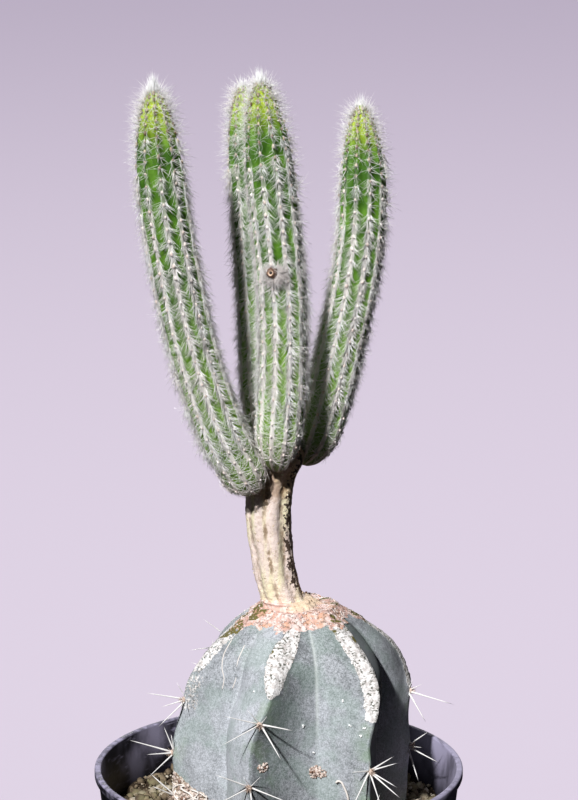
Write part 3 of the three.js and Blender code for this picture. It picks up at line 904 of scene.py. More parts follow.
# %% [markdown]
# Under its wax the skin is dark grey-green. The wax is never even: fine grains less than a millimetre wide
# show everywhere, with soft clouds and faint upright streaks in them. Greener patches show through, most
# of all along the crests, and a pale line marks the bottom of each furrow. Each row of the grain is a size
# in millimetres, its detail, how much it changes the wax, and its pace upwards, lower for longer streaks.

# %% Rootstock finish
WAX_GRAIN = [(12, 3, 0.05, 1), (2.6, 3, 0.06, 0.2), (0.9, 4, 0.12, 1), (0.32, 2, 0.2, 1)]
wax = Finish("waxy_skin", 0.62, 0.35)
frost_and_shade = wax.attribute("frost_and_shade")
for size, detail, amount, upright in WAX_GRAIN:
    frost_and_shade = wax.plus(frost_and_shade, wax.cloud(size, detail, 0.3, 0.7, -amount, amount, (1, 1, upright)))
wax.colour(wax.mix(frost_and_shade, "6d7174", "e0e4ec"))
wax.coat(wax.cloud(8, 3, 0.42, 0.62, 0, 0.26), "86a392")
crest = wax.band(wax.attribute("furrow"), 0.34, 0.05)
wax.coat(wax.times(crest, wax.cloud(7, 2, 0.5, 0.64, 0, 0.3)), "83a072")
wax.coat(wax.attribute("crease"), "ccd3d0")

# %% [markdown]
# The cork is white with an olive-grey network of cracks in it. The crust is cream and pink with orange
# stains, and the dried foot is brown with paler flakes. Each mark's edge is broken up by noise that is
# added to its mask.

# %% Cork, crust and moss on the rootstock
cork = wax.mix(wax.cloud(1.2, 4, 0.35, 0.6), "cfc9c6", "fbf8f7")
cracks = wax.times(wax.cloud(0.75, 6, 0.47, 0.63, stretch=(1, 1, 1.7)), wax.cloud(2.2, 3, 0.34, 0.56))
cork = wax.mix(cracks, cork, "5c5d52")
cork_edge = wax.plus(wax.attribute("cork"), wax.noise(0.8, 4))
cork_cover = wax.band(cork_edge, 0.92, 1.02)
wax.coat(cork_cover, cork)
scar = wax.mix(wax.cloud(1.6, 4, 0.42, 0.6), "d4ada1", "eedcd6")
scar = wax.mix(wax.cloud(4.2, 3, 0.5, 0.62, 0, 0.65), scar, "d9a481")
scar = wax.mix(wax.cloud(0.9, 5, 0.54, 0.62, 0, 0.7), scar, "80685a")
wax.coat(wax.mark("crust", 1.1, 4, 0.92, 1.05), scar)
moss = wax.times(wax.mark("moss", 1.6, 5, 1.38, 1.5), wax.band(cork_edge, 0.9, 1))
wax.coat(moss, wax.mix(wax.noise(0.8, 3), "4b451f", "827a45"))
dry = wax.mix(wax.cloud(0.8, 5, 0.42, 0.58), "96836f", "e4d9cf")
wax.coat(wax.mark("dry", 1.2, 4, 0.95, 1.05), dry)
wax.rough(wax.band(cork_edge, 0.92, 1.02, 0.6, 0.9))
wax.relief(wax.noise(0.35, 3), 0.05, 0.6)
wax.relief(wax.noise(2.5, 3), 0.12, 0.5)
wax.relief(wax.times(cork_cover, wax.noise(0.7, 4)), 0.3, 0.7)
add_piece(stock_bm, "rootstock_body", wax, "rootstock_skin", "rootstock")

# %% [markdown]
# ## Spines of the rootstock
# Each areole has a star of stiff white spines about a centimetre long. The stars that face the camera are
# set spine by spine, as a clock angle seen from outside, a lean away from the skin, and a length. The
# others are drawn at random, with none that would reach the soil or the pot.

# %% Spine stars
SPINE_RADIUS = 0.32
SPINE_ROOT = 0.8
SOIL_ROOM, RIM_ROOM, WALL_ROOM = 0.5, 1.5, 2.6
FACING_STARS = {
    (0, 109): [(-28, 77, 11.5), (11, 29, 6.5), (149, 51, 11.2), (140, 77, 7.8), (117, 16, 5)],
    (0, 93.5): [(-7, 71, 13.1), (-1, 21, 8), (73, 68, 8.5), (139, 50, 10.5), (24, 12, 7)],
    (1, 110): [
        (-66, 36, 10.8),
        (-116, 43, 12.6),
        (90, 12, 10.2),
        (134, 28, 12.6),
        (39, 26, 4.5),
        (-30, 29, 6.5),
    ],
    (1, 92.5): [(-57, 36, 11.2), (101, 9, 12), (-114, 49, 11.8), (150, 45, 12), (42, 19, 6), (-12, 36, 5)],
    (2, 95): [
        (36, 43, 8.5),
        (46, 55, 9),
        (-78, 5, 7),
        (138, 66, 9.5),
        (159, 59, 12),
        (-159, 46, 12),
        (-131, 15, 12),
        (-21, 21, 4.5),
    ],
    (3, 107): [(-115, 60, 13.4), (-136, 20, 10.5), (-38, 52, 5), (-24, 15, 4.5), (-120, 17, 5)],
    (3, 91.5): [(-30, 44, 7.5), (-121, 49, 10.5), (-140, 10, 11), (-78, 31, 6)],
}
LONE_SPINES = [(-15.6, 125.6, 6, 51, 7), (-11, 122.2, 79, 57, 6.7)]


def star_heading(degrees, height, clock, lean):
    """The way of a spine. Clock 0 points up and 90 to the right, seen from outside the plant."""
    out = stock_out(degrees, height)
    side = Vector((-out.y, out.x, 0))
    turn, rise = math.radians(clock), math.radians(lean)
    flat = side * math.sin(turn) + UP * math.cos(turn)
    return (flat * math.cos(rise) + out * math.sin(rise)).normalized()


def drawn_star(draw):
    """Six or seven spines for an areole that no one looks straight at."""
    count = draw.choice((6, 7))
    return [
        (360 * (i + draw.uniform(-0.3, 0.3)) / count, draw.uniform(15, 50), draw.uniform(8, 11.5))
        for i in range(count)
    ]


def reaches_too_far(tip):
    """Whether a spine's tip would touch the soil or the pot's wall."""
    low = tip.z < POT_HEIGHT + RIM_ROOM
    near_wall = low and math.hypot(tip.x, tip.y) > RIM_RADIUS - WALL_ROOM
    return near_wall or tip.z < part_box("soil")[1].z / MM + SOIL_ROOM


# %% Spines
def stock_spines():
    draw = random.Random(11)
    bm = bmesh.new()
    count = 0
    for rib, height, degrees, radius in stock_areoles():
        root = stock_point(degrees, radius - SPINE_ROOT, height)
        for clock, lean, length in FACING_STARS.get((rib, height)) or drawn_star(draw):
            heading = star_heading(degrees, height, clock, lean)
            if reaches_too_far(root + heading * length):
                continue
            bend = Matrix.Rotation(math.radians(draw.uniform(-1.5, 1.5)), 3, "Z")
            thick = SPINE_RADIUS * (0.6 if length < 7 else draw.uniform(0.85, 1.1))
            add_strand(bm, root, heading, bend, length, thick, steps=4, sides=6, tip=0.3)
            count += 1
    for degrees, height, clock, lean, length in LONE_SPINES:
        heading = star_heading(degrees, height, clock, lean)
        root = stock_point(degrees, crest_radius(height) * rib_share(degrees, height), height)
        bend = Matrix.Rotation(0.03, 3, "Z")
        add_strand(bm, root, heading, bend, length, SPINE_RADIUS * 0.55, steps=4, sides=6)
    bmesh.ops.recalc_face_normals(bm, faces=bm.faces)
    print("spines:", count + len(LONE_SPINES))
    return bm


horn = Finish("spine_horn", 0.4)
horn.colour(horn.mix(horn.noise(1.2, 3), "e4deda", "ffffff"))
horn.relief(horn.noise(0.4, 2), 0.03)
add_piece(stock_spines(), "rootstock_spines", horn, "rootstock_skin")

# %% [markdown]
# ## Felt of the rootstock's areoles
# The spines come out of a small cushion of tan felt: short curly hairs on a low pad. A few such
# cushions are made and stamped on the crests.


# %% Areole felt
def polar(turn, rise):
    """A direction by two angles in radians: the turn from +X towards +Y, and the rise."""
    return Vector((math.cos(turn) * math.cos(rise), math.sin(turn) * math.cos(rise), math.sin(rise)))


FELT_HAIRS = 34


def felt_mesh(seed):
    """A pad with short curly hairs, about two millimetres wide. Its Z axis points away from the skin."""
    draw = random.Random(seed)
    bm = bmesh.new()
    bmesh.ops.create_icosphere(bm, subdivisions=1, radius=0.9 * MM)
    bmesh.ops.scale(bm, verts=bm.verts, vec=(1, 1.2, 0.6))
    for _ in range(FELT_HAIRS):
        turn, lean = draw.uniform(0, math.tau), math.radians(draw.uniform(20, 80))
        heading = polar(turn, lean)
        turn = draw.uniform(-0.6, 0.6)
        bend = Matrix.Rotation(turn, 3, Vector((draw.uniform(-1, 1), draw.uniform(-1, 1), 1)))
        add_strand(bm, heading * 0.55, heading, bend, draw.uniform(0.9, 1.5), 0.07, steps=3)
    return as_mesh(bm, "felt")


def facing(normal, up, spot):
    """A matrix that turns Z to a normal and Y roughly up, and moves to a spot in millimetres."""
    side = up.cross(normal).normalized()
    turned_up = normal.cross(side)
    turn = Matrix((side, turned_up, normal)).transposed().to_4x4()
    return Matrix.Translation(spot * MM) @ turn


def stock_felt():
    draw = random.Random(5)
    pads = [felt_mesh(seed) for seed in range(4)]
    bm = stamping("tone")
    for _, height, degrees, radius in stock_areoles():
        spot = stock_point(degrees, radius, height)
        place = facing(stock_out(degrees, height), UP, spot)
        stamp(bm, draw.choice(pads), place, tone=draw.random())
    return bm


felt = Finish("tan_felt", 0.9, 0.2)
felt_tone = felt.times(felt.attribute("tone"), felt.noise(0.8, 2))
felt.colour(felt.mix(felt_tone, "dcc8ba", "9c8272"))
add_piece(stock_felt(), "rootstock_felt", felt, "rootstock_skin")

# %% [markdown]
# ## Stems of the scion
# The trunk and the arms are ribbed stems along a curved axis. A stem keeps a frame at each point of its
# axis: where its middle is, which way it grows, and which side is its front. The fronts start at the tip
# and are carried down without twist, so the ribs run straight.


# %% Stem frames
class Stem:
    """An axis through some points, in millimetres, with a frame at any distance from its base."""

    def __init__(self, points):
        self.line = route(points)
        self.reach = [0]
        for start, end in zip(self.line, self.line[1:]):
            self.reach.append(self.reach[-1] + (end - start).length)
        self.length = self.reach[-1]
        ends = [self.line[0], *self.line, self.line[-1]]
        self.ways = [(after - before).normalized() for before, after in zip(ends, ends[2:])]
        front = Vector((0, -1, 0))
        self.fronts = []
        for way in reversed(self.ways):
            front = (front - way * front.dot(way)).normalized()
            self.fronts.append(front)
        self.fronts.reverse()

    def at(self, distance):
        """The middle, the way, the front and the right side at a distance."""
        index = min(len(self.line) - 2, max(0, bisect.bisect_right(self.reach, distance) - 1))
        share = (distance - self.reach[index]) / (self.reach[index + 1] - self.reach[index])
        middle = self.line[index].lerp(self.line[index + 1], share)
        way = self.ways[index].lerp(self.ways[index + 1], share).normalized()
        front = self.fronts[index].lerp(self.fronts[index + 1], share).normalized()
        return middle, way, front, way.cross(front)


print("a straight stem's length:", Stem([(0, 0, 0), (0, 0, 5), (0, 0, 10)]).length)

# %% Sizes of the arms
ARM_RIBS = 10
ARM_FURROW = 0.84
TIP_LENGTH = 28
TIP_ROUNDING, BASE_ROUNDING = 0.6, 0.55
ARM_AXES = {
    "arm_left": [
        (-6.3, -5.9, 166.7),
        (-7.9, -7.2, 170),
        (-10.7, -9.1, 175.6),
        (-15.4, -11.6, 185.5),
        (-20.7, -13.8, 201.8),
        (-24.7, -15.6, 218.2),
        (-29.6, -18.4, 248.5),
        (-31.8, -20.6, 277.1),
    ],
    "arm_front": [
        (-0.6, -8.8, 173.2),
        (-0.3, -10.4, 179),
        (0.5, -11.6, 189),
        (1.2, -12.3, 205),
        (0.9, -12.5, 222),
        (-1.3, -13, 246.5),
        (-4.6, -14, 278.2),
    ],
    "arm_right": [
        (6.4, 5.2, 171),
        (8.6, 6, 175.1),
        (11.7, 5.4, 183.5),
        (16.9, 3.4, 206.1),
        (20.8, 2.4, 226.3),
        (22.3, 2.4, 246.3),
        (21.6, 3.4, 268.9),
    ],
    "arm_back": [
        (-2, 9.2, 171.5),
        (-3, 11.6, 178.8),
        (-4.2, 14.6, 190.8),
        (-4.8, 17.2, 206.9),
        (-5.8, 19, 222.7),
        (-7.1, 20.6, 243.7),
        (-9.5, 22.6, 270.9),
    ],
}


class Arm:
    """An arm's stem, its thickness, the angle of its first rib, and the length of its rounded base."""

    def __init__(self, name, radius, first_rib, base):
        self.name, self.radius, self.first_rib, self.base = name, radius, first_rib, base
        self.stem = Stem(ARM_AXES[name])
        self.length = self.stem.length

    def radius_at(self, distance):
        from_tip = min(1, max(0, (self.length - distance) / TIP_LENGTH))
        from_base = min(1, max(0, distance / self.base))
        tip = (1 - (1 - from_tip) ** 2) ** TIP_ROUNDING
        return self.radius * tip * (1 - (1 - from_base) ** 2) ** BASE_ROUNDING

    def on_skin(self, distance, degrees, lift=0.0):
        """A matrix on a crest's line: Z away from the skin, Y up the stem, at a lift above the crest."""
        middle, way, front, side = self.stem.at(distance)
        out = front * math.cos(math.radians(degrees)) + side * math.sin(math.radians(degrees))
        slope = (self.radius_at(distance + 0.2) - self.radius_at(distance - 0.2)) / 0.4
        normal = (out - way * slope).normalized()
        return facing(normal, way, middle + out * self.radius_at(distance) + normal * lift)


ARMS = [
    Arm("arm_left", 6.4, 3, 8),
    Arm("arm_front", 6.3, 17, 14),
    Arm("arm_right", 6.2, 16, 13),
    Arm("arm_back", 6.1, 0, 9),
]
print("arm lengths in mm:", {arm.name: round(arm.length, 1) for arm in ARMS})

# %% [markdown]
# ## The arms' green skin
# Under the hair each arm has ten low ribs. The skin shows in the furrows, so it is there that it needs its
# colour: yellow-green at the growing tip, grass green along the stem, and dull at the base.

# %% Arm skins
ARM_COLUMNS, ARM_ROWS = 80, 120
BARB_SLANT = 1.3
ROW_CROWDING, SKIN_WAVER = 0.1, 0.12


def arm_place(arm):
    """The rule that rolls a grid into this arm's skin. The rows crowd together at both ends."""

    def place(turn, rise):
        distance = arm.length * (rise - ROW_CROWDING * math.sin(math.tau * rise))
        middle, way, front, side = arm.stem.at(distance)
        angle = math.radians(arm.first_rib) + math.tau * turn
        furrow = 0.5 - 0.5 * math.cos(math.tau * turn * ARM_RIBS)
        share = 1 - (1 - ARM_FURROW) * furrow**0.8
        radius = arm.radius_at(distance) * share
        out = front * math.cos(angle) + side * math.sin(angle)
        spot = middle + out * radius
        spot += out * SKIN_WAVER * noise.noise(spot / 2.5) * min(1, radius / 2)
        rib = round(turn * ARM_RIBS)
        across = abs(turn * ARM_RIBS - rib) * math.tau * radius / ARM_RIBS
        return spot, (furrow, (arm.length - distance) / arm.length, distance + BARB_SLANT * across, rib)

    return place


green = Finish("green_skin", 0.5, 0.35)
green_age = green.attribute("age")
green.colour(green.mix(green.cloud(5, 3, 0.35, 0.65), "3b6616", "64922e"))
green.coat(green.band(green_age, 0.4, 0.75), "7ba63c")
green.coat(green.band(green_age, 0.14, 0.02), "b9d235")
green.coat(green.band(green_age, 0.9, 1.0), "5f6a3c")

# %% [markdown]
# The finest down is too small to model. It is painted on the skin as streaks that slant down and away
# from each crest, like the barbs of a feather, dense on the crest and sparse in the furrow. Noise gives
# the streaks when it reads a distance along the barbs instead of a place in space.

# %% Down on the skin
barbs = green.node("ShaderNodeCombineXYZ")
for axis, (name, pace) in enumerate((("barb", 2.8), ("rib", 7.7), ("furrow", 0.9))):
    green.feed(barbs.inputs[axis], green.times(green.attribute(name), pace))
down = green.node("ShaderNodeTexNoise")
down.inputs["Scale"].default_value = 1
down.inputs["Detail"].default_value = 3
green.feed(down.inputs["Vector"], barbs.outputs[0])
thin = green.times(green.attribute("furrow"), green.band(green_age, 0.3, 0.9, 1.0, 0.78))
downy = green.band(green.maths("SUBTRACT", down.outputs["Fac"], thin), 0.2, 0.32)
mature = green.times(downy, green.band(green_age, 0.14, 0.4, 0, 0.92))
green.coat(mature, green.mix(green.band(green_age, 0.85, 1.0), "f4eeea", "b9aaa4"))
green.relief(down.outputs["Fac"], 0.1)
for arm in ARMS:
    arm_bm = rolled_skin(ARM_COLUMNS, ARM_ROWS, ("furrow", "age", "barb", "rib"), arm_place(arm))
    add_piece(arm_bm, f"{arm.name}_skin", green, "hairy_stem", arm.name)

# %% [markdown]
# ## Hair of the arms
# Each crest carries an areole every three millimetres or so, and from each areole comes a tuft of fine
# white spines as soft as hair. Grown-up tufts hang down along the rib like the barbs of a feather, and a
# few hairs stand out. Young tufts near the tip stand out on all sides, and at the base the old hair is
# matted. A tuft is a small mesh in a frame with X across the rib, Y up the stem and Z away from it. A
# hair has only ten triangles, because there are tens of thousands of them.

# %% Tufts
HAIR_RADIUS = 0.06
STRAY_HAIRS, YOUNG_HAIRS, MATTED_HAIRS = 5, 14, 24


def add_hair(bm, draw, swing, lean, length, sink=(5, 12), curl=12, steps=2, spread=0.6):
    """A hair from near the areole. Swing 0 points down the stem and 90 across it, and lean is how far
    it stands off the skin. Sink turns it towards the skin at each step, and curl sideways."""
    heading = aim(swing, draw.uniform(*lean))
    across = heading.cross(UP).normalized()
    down_turn = Matrix.Rotation(-math.radians(draw.uniform(*sink)), 3, across)
    bend = down_turn @ Matrix.Rotation(math.radians(draw.uniform(-curl, curl)), 3, "Z")
    root = Vector((draw.uniform(-0.35, 0.35), draw.uniform(-spread, spread), -0.35))
    radius = HAIR_RADIUS * draw.uniform(0.8, 1.2)
    add_strand(bm, root, heading, bend, draw.uniform(*length), radius, steps=steps)


def hanging_tuft(seed, along, barbs):
    """Hairs that lie along the rib, barbs that hang over both furrows, and a few that stand out."""
    draw = random.Random(seed)
    bm = bmesh.new()
    kinds = [(along, (0, 26), (4, 24), (3.4, 5.4), 1.5), (barbs, (24, 70), (8, 34), (2.8, 5), 1.3)]
    for count, swing, lean, length, spread in kinds:
        for i in range(count):
            side = 1 if i % 2 else -1
            add_hair(bm, draw, side * draw.uniform(*swing), lean, length, spread=spread)
    for _ in range(STRAY_HAIRS):
        add_hair(bm, draw, draw.uniform(-110, 110), (28, 62), (2.6, 4.4), (0, 10))
    return as_mesh(bm, "hanging_tuft")


def young_tuft(seed):
    draw = random.Random(seed)
    bm = bmesh.new()
    for i in range(YOUNG_HAIRS):
        swing = 360 * i / YOUNG_HAIRS + draw.uniform(-14, 14)
        add_hair(bm, draw, swing, (28, 80), (2.8, 5.4), (-8, 12))
    return as_mesh(bm, "young_tuft")


def matted_tuft(seed):
    """Long curly hairs that cling to the skin."""
    draw = random.Random(seed)
    bm = bmesh.new()
    for _ in range(MATTED_HAIRS):
        add_hair(bm, draw, draw.uniform(-150, 150), (0, 20), (3, 5.4), (12, 30), 42, 3)
    return as_mesh(bm, "matted_tuft")


TUFTS = {
    "thin": [hanging_tuft(seed, 8, 22) for seed in range(10)],
    "thick": [hanging_tuft(seed, 11, 31) for seed in range(10, 20)],
    "young": [young_tuft(seed) for seed in range(20, 28)],
    "matted": [matted_tuft(seed) for seed in range(40, 46)],
}
print("tuft faces:", {kind: len(meshes[0].polygons) for kind, meshes in TUFTS.items()})

# %% [markdown]
# The areoles of a rib crowd together towards the tip, where they are made, and those of neighbouring
# ribs alternate.

# %% Places of the tufts
AREOLE_PITCH = (1.5, 3.3)
CROWDED = 24
YOUNG, THICK, MATTED = 20, 48, 9


def areole_distances(arm, rib):
    """Distances from the base of one rib's areoles."""
    from_tip = 1.0 + 0.8 * (rib % 2)
    while from_tip < arm.length - arm.base * 0.3:
        yield arm.length - from_tip
        from_tip += blend(*AREOLE_PITCH, step(from_tip, 0, CROWDED))


def arm_areoles(arm):
    """The degrees, the distance from the base and the age of each areole of an arm."""
    for rib in range(ARM_RIBS):
        for distance in areole_distances(arm, rib):
            yield arm.first_rib + 360 * rib / ARM_RIBS, distance, (arm.length - distance) / arm.length


def tuft_kind(arm, distance, draw):
    from_tip = arm.length - distance
    if from_tip < YOUNG * draw.uniform(0.5, 1.7):
        return "young"
    if distance < arm.base + MATTED * draw.uniform(0.5, 1.2):
        return "matted"
    return "thick" if from_tip > THICK * draw.uniform(0.8, 1.2) else "thin"


def arm_hair(arm, seed):
    draw = random.Random(seed)
    bm = stamping("age", "tone")
    for degrees, distance, age in arm_areoles(arm):
        kind = tuft_kind(arm, distance + draw.uniform(-0.4, 0.4), draw)
        size = Matrix.Scale(draw.uniform(0.8, 1.2), 4)
        place = arm.on_skin(distance, degrees) @ twist(draw, 0.28, "Z") @ size
        stamp(bm, draw.choice(TUFTS[kind]), place, age=age, tone=draw.random())
    return bm


print("areoles on one rib:", len(list(areole_distances(ARMS[0], 0))))

# %% [markdown]
# The newest hairs stand upright in a white brush on the very tip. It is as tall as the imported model's
# tuft allows.

# %% Brush on the tip
BRUSH_DEPTH, BRUSH_WIDTH = 2, 1.5
BRUSH_SPLAY = 0.13
BRUSH_HAIR = HAIR_RADIUS * 1.3


def add_brush(bm, arm, count, height, seed):
    draw = random.Random(seed)
    middle, way, front, side = arm.stem.at(arm.length - BRUSH_DEPTH)
    brush = bmesh.new()
    for _ in range(count):
        turn, splay = draw.uniform(0, math.tau), abs(draw.gauss(0, BRUSH_SPLAY))
        heading = Vector((math.cos(turn) * splay, math.sin(turn) * splay, 1)).normalized()
        root = Vector((math.cos(turn), math.sin(turn), 0)) * BRUSH_WIDTH * draw.random()
        length = height * draw.uniform(0.5, 1) * (1 - 0.3 * root.length) * (1 - 0.4 * min(1, splay))
        add_strand(brush, root, heading, twist(draw, 0.15, "X", 3), length, BRUSH_HAIR, steps=2)
    mesh = as_mesh(brush, "brush")
    stamp(bm, mesh, facing(way, -front, middle), age=0.0, tone=1.0)


hair = Finish("white_hair", 0.35, 0.8)
hair_tone = hair.attribute("tone")
clean = hair.mix(hair_tone, "fdf6f4", "ffffff")
dull = hair.mix(hair_tone, "cdbcb4", "f0e8e4")
hair.colour(hair.mix(hair.band(hair.attribute("age"), 0.85, 1.0), clean, dull))
hair.sheen(1.0)
BRUSHES = {"arm_left": (190, 8.2), "arm_front": (160, 7.4), "arm_right": (70, 6.6), "arm_back": (70, 6.6)}
for number, arm in enumerate(ARMS):
    hair_bm = arm_hair(arm, 300 + number)
    add_brush(hair_bm, arm, *BRUSHES[arm.name], 400 + number)
    add_piece(hair_bm, f"{arm.name}_hair", hair, "hairy_stem")

# %% [markdown]
# ## Areole wool
# Every tuft grows from a little pad of wool. Near the tip, where the hair is sparse, the pads show as tan
# dots. Lower down they are white with a tint of pink, and thicken the white of the ribs.


# %% Areole wool
def wool_mesh(seed):
    """A lumpy pad of twenty faces."""
    draw = random.Random(seed)
    bm = bmesh.new()
    bmesh.ops.create_icosphere(bm, subdivisions=1, radius=0.5 * MM)
    for vert in bm.verts:
        vert.co *= draw.uniform(0.8, 1.2)
    bmesh.ops.scale(bm, verts=bm.verts, vec=(0.85, 1.2, 0.6))
    return as_mesh(bm, "wool")


PAD_LIFT = 0.18


def arm_wool(arm, seed):
    draw = random.Random(seed)
    pads = [wool_mesh(seed + i) for i in range(6)]
    bm = stamping("age", "tone")
    for degrees, distance, age in arm_areoles(arm):
        size = Matrix.Scale(draw.uniform(0.8, 1.2) * (1 - 0.25 * step(age, 0.4, 0.6)), 4)
        place = arm.on_skin(distance, degrees, PAD_LIFT) @ size
        stamp(bm, draw.choice(pads), place, age=age, tone=draw.random())
    return bm


wool = Finish("areole_wool", 0.95, 0.1)
wool_tone = wool.attribute("tone")
wool_tan = wool.mix(wool_tone, "806a52", "d6c8b0")
wool_white = wool.mix(wool_tone, "e8d6cc", "fdf7f4")
wool.colour(wool.mix(wool.band(wool.attribute("age"), 0.1, 0.3), wool_tan, wool_white))
wool.relief(wool.noise(0.3, 3), 0.1)
for number, arm in enumerate(ARMS):
    add_piece(arm_wool(arm, 500 + 10 * number), f"{arm.name}_wool", wool, "hairy_stem")

# %% [markdown]
# ## The trunk
# The scion's old stem has turned to cork: cream ridges with tan furrows between them, cracked across and
# scurfy. It stands on the right of the graft's middle and swells at the top, where the arms sit. Eight
# ridges go round it, and they wander a little, because bark cracks where it likes.

# %% Trunk
TRUNK_AXIS = [
    (2.2, 0, 134.1),
    (0.9, 0, 136.4),
    (-0.6, 0, 141.3),
    (-2.0, 0, 150),
    (-2.7, 0, 160),
    (-2, 0.4, 168.5),
    (-0.6, 0.8, 174),
    (0, 1, 179),
]
TRUNK_RADII = [6.6, 5.9, 5.8, 5.95, 6.3, 6.6, 7.6, 5.6]
TRUNK_RISE = 3.4
TRUNK_RIBS, TRUNK_TURN, TRUNK_FURROW, TRUNK_WANDER = 8, 14.5, 0.9, 0.9
TRUNK_COLUMNS, TRUNK_ROWS = 160, 150
TRUNK_SHADE_SPAN = (28, 60, 66, 90)
TRUNK_BROWN = (161, 168)
TRUNK_TOP, TRUNK_BOTTOM = 0.94, 0.01
TRUNK_LINE = route(TRUNK_AXIS, 20)


def stretched_noise(spot, wide, tall):
    """Noise with features of a width and a height in millimetres."""
    return noise.noise(Vector((spot.x / wide, spot.y / wide, spot.z / tall)))


def trunk_point(turn, rise, lift=0.0):
    """The point on the trunk's bark, and how near it is to a furrow."""
    share = min(1, rise / TRUNK_TOP)
    index = share * (len(TRUNK_LINE) - 1)
    low = min(len(TRUNK_LINE) - 2, int(index))
    middle = TRUNK_LINE[low].lerp(TRUNK_LINE[low + 1], index - low)
    closing = 1
    if rise > TRUNK_TOP:
        closing = math.sqrt(max(0, 1 - ((rise - TRUNK_TOP) / (1 - TRUNK_TOP)) ** 2))
    height = middle.z + TRUNK_RISE * (1 - closing)
    angle = math.radians(TRUNK_TURN) + math.tau * turn
    out = Vector((math.sin(angle), -math.cos(angle), 0))
    radius = spline([(value, i) for i, value in enumerate(TRUNK_RADII)], share).x
    plain = Vector((middle.x, middle.y, height)) + out * radius
    wander = TRUNK_WANDER * stretched_noise(plain, 6, 9)
    furrow = 0.5 - 0.5 * math.cos(math.tau * turn * TRUNK_RIBS + wander)
    crack = stretched_noise(plain, 1.7, 0.5)
    scurf = 0.13 * noise.noise(plain / 0.8) + 0.1 * crack + 0.3 * noise.noise(plain / 4)
    radius = radius * (1 - (1 - TRUNK_FURROW) * furrow**1.4) + scurf * (0.7 + 0.6 * furrow) + lift
    closing *= min(1, rise / TRUNK_BOTTOM)
    return Vector((middle.x, middle.y, height)) + out * radius * closing, furrow


def trunk_skin(turn, rise):
    """The bark, with painted shade on its right side that fades near the graft, and a brown top that is
    partly painted shade.
    """
    spot, furrow = trunk_point(turn, rise)
    side = (TRUNK_TURN + 360 * turn) % 360
    start, full, fading, end = TRUNK_SHADE_SPAN
    stain_and_shade = step(side, start, full) * (1 - step(side, fading, end)) * step(spot.z, 135, 141)
    return spot, (furrow, stain_and_shade, step(spot.z, *TRUNK_BROWN))


trunk_bm = rolled_skin(TRUNK_COLUMNS, TRUNK_ROWS, ("furrow", "stain_and_shade", "brown"), trunk_skin)
print("trunk points:", len(trunk_bm.verts))

# %% [markdown]
# The bark's colours run in upright bands, yellowish cream and pinkish. The furrows are only darkened here
# and there, in broken brown flecks. The right side, which faces away from the lamp, is painted nearly black
# as shade. Under the arms the bark is brown, partly its own colour and partly painted shade from the arms.

# %% Trunk bark
bark = Finish("corky_bark", 0.85, 0.2)
bark.colour(bark.mix(bark.cloud(3.2, 3, 0.4, 0.6, stretch=(1, 1, 0.12)), "faf0cc", "f4e1d8"))
bark.coat(bark.cloud(1.3, 4, 0.5, 0.75, 0, 0.4, (1, 1, 0.7)), "dcc6a6")
broken = bark.cloud(3, 4, 0.4, 0.6, stretch=(1, 1, 0.5))
bark.coat(bark.times(bark.mark("furrow", 1.3, 5, 1.25, 1.5), broken), "a08a72")
bark.coat(bark.cloud(0.6, 5, 0.46, 0.66, 0, 0.5, (1, 1, 0.8)), "cdb4a2")
bark.coat(bark.cloud(0.9, 5, 0.62, 0.7, 0, 0.45, (1, 1, 1.6)), "9c8468")
# Brown under the arms: partly the bark's own colour, partly painted warm shade cast by the arms.
bark.coat(bark.times(bark.mark("brown", 1.4, 4, 0.75, 1.35), 0.6), "a98560")
stain_and_shade = bark.plus(bark.attribute("stain_and_shade"), bark.cloud(1.0, 4, 0.35, 0.65))
# Painted shade: the right side of the trunk, turned away from the lamp, is painted nearly black.
bark.coat(bark.band(stain_and_shade, 1.25, 1.45), "4f4037")
bark.relief(bark.noise(0.5, 5, (1, 1, 2)), 0.16)
bark.relief(bark.noise(1.6, 3, (1, 1, 0.5)), 0.2, 0.5)
add_piece(trunk_bm, "trunk_bark", bark, "corky_bark", "trunk")

# %% [markdown]
# ## Stones and crumbs
# Grit, crust and scabs are all made of small irregular lumps. A stone is a cube that is subdivided once
# and rounded, with 24 faces. A crumb is smaller, so an icosphere of 20 triangles is enough. Drawn from
# a few variants, they never look repeated.


# %% Lumps
def lump_mesh(seed, flat=0.8, crumb=False):
    """A lump a millimetre wide. Its corners are drawn most of the way to a ball, each by its own amount."""
    draw = random.Random(seed)
    bm = bmesh.new()
    if crumb:
        bmesh.ops.create_icosphere(bm, subdivisions=1, radius=0.5 * MM)
    else:
        bmesh.ops.create_cube(bm, size=1 * MM)
        bmesh.ops.subdivide_edges(bm, edges=bm.edges, cuts=1, use_grid_fill=True)
    for vert in bm.verts:
        vert.co = vert.co.lerp(vert.co.normalized() * 0.5 * MM, 0.75) * draw.uniform(0.74, 1.18)
    bmesh.ops.scale(bm, verts=bm.verts, vec=(1, draw.uniform(0.7, 0.95), flat))
    return as_mesh(bm, "lump")


def lump_place(draw, spot, size, tilt=0.6):
    """A matrix for a lump of a size in millimetres, turned any way about Z and tilted a little."""
    turn = Matrix.Rotation(draw.uniform(0, math.tau), 4, "Z")
    lean = twist(draw, tilt, "X") @ twist(draw, tilt, "Y")
    return Matrix.Translation(spot * MM) @ turn @ lean @ Matrix.Scale(size, 4)


LUMPS = [lump_mesh(seed) for seed in range(60, 70)]
CRUMBS = [lump_mesh(seed, 0.7, True) for seed in range(50, 58)]
FLAKES = [lump_mesh(seed, 0.25, True) for seed in range(70, 78)]
print("faces of a stone, a crumb and a flake:", [len(kind[0].polygons) for kind in (LUMPS, CRUMBS, FLAKES)])

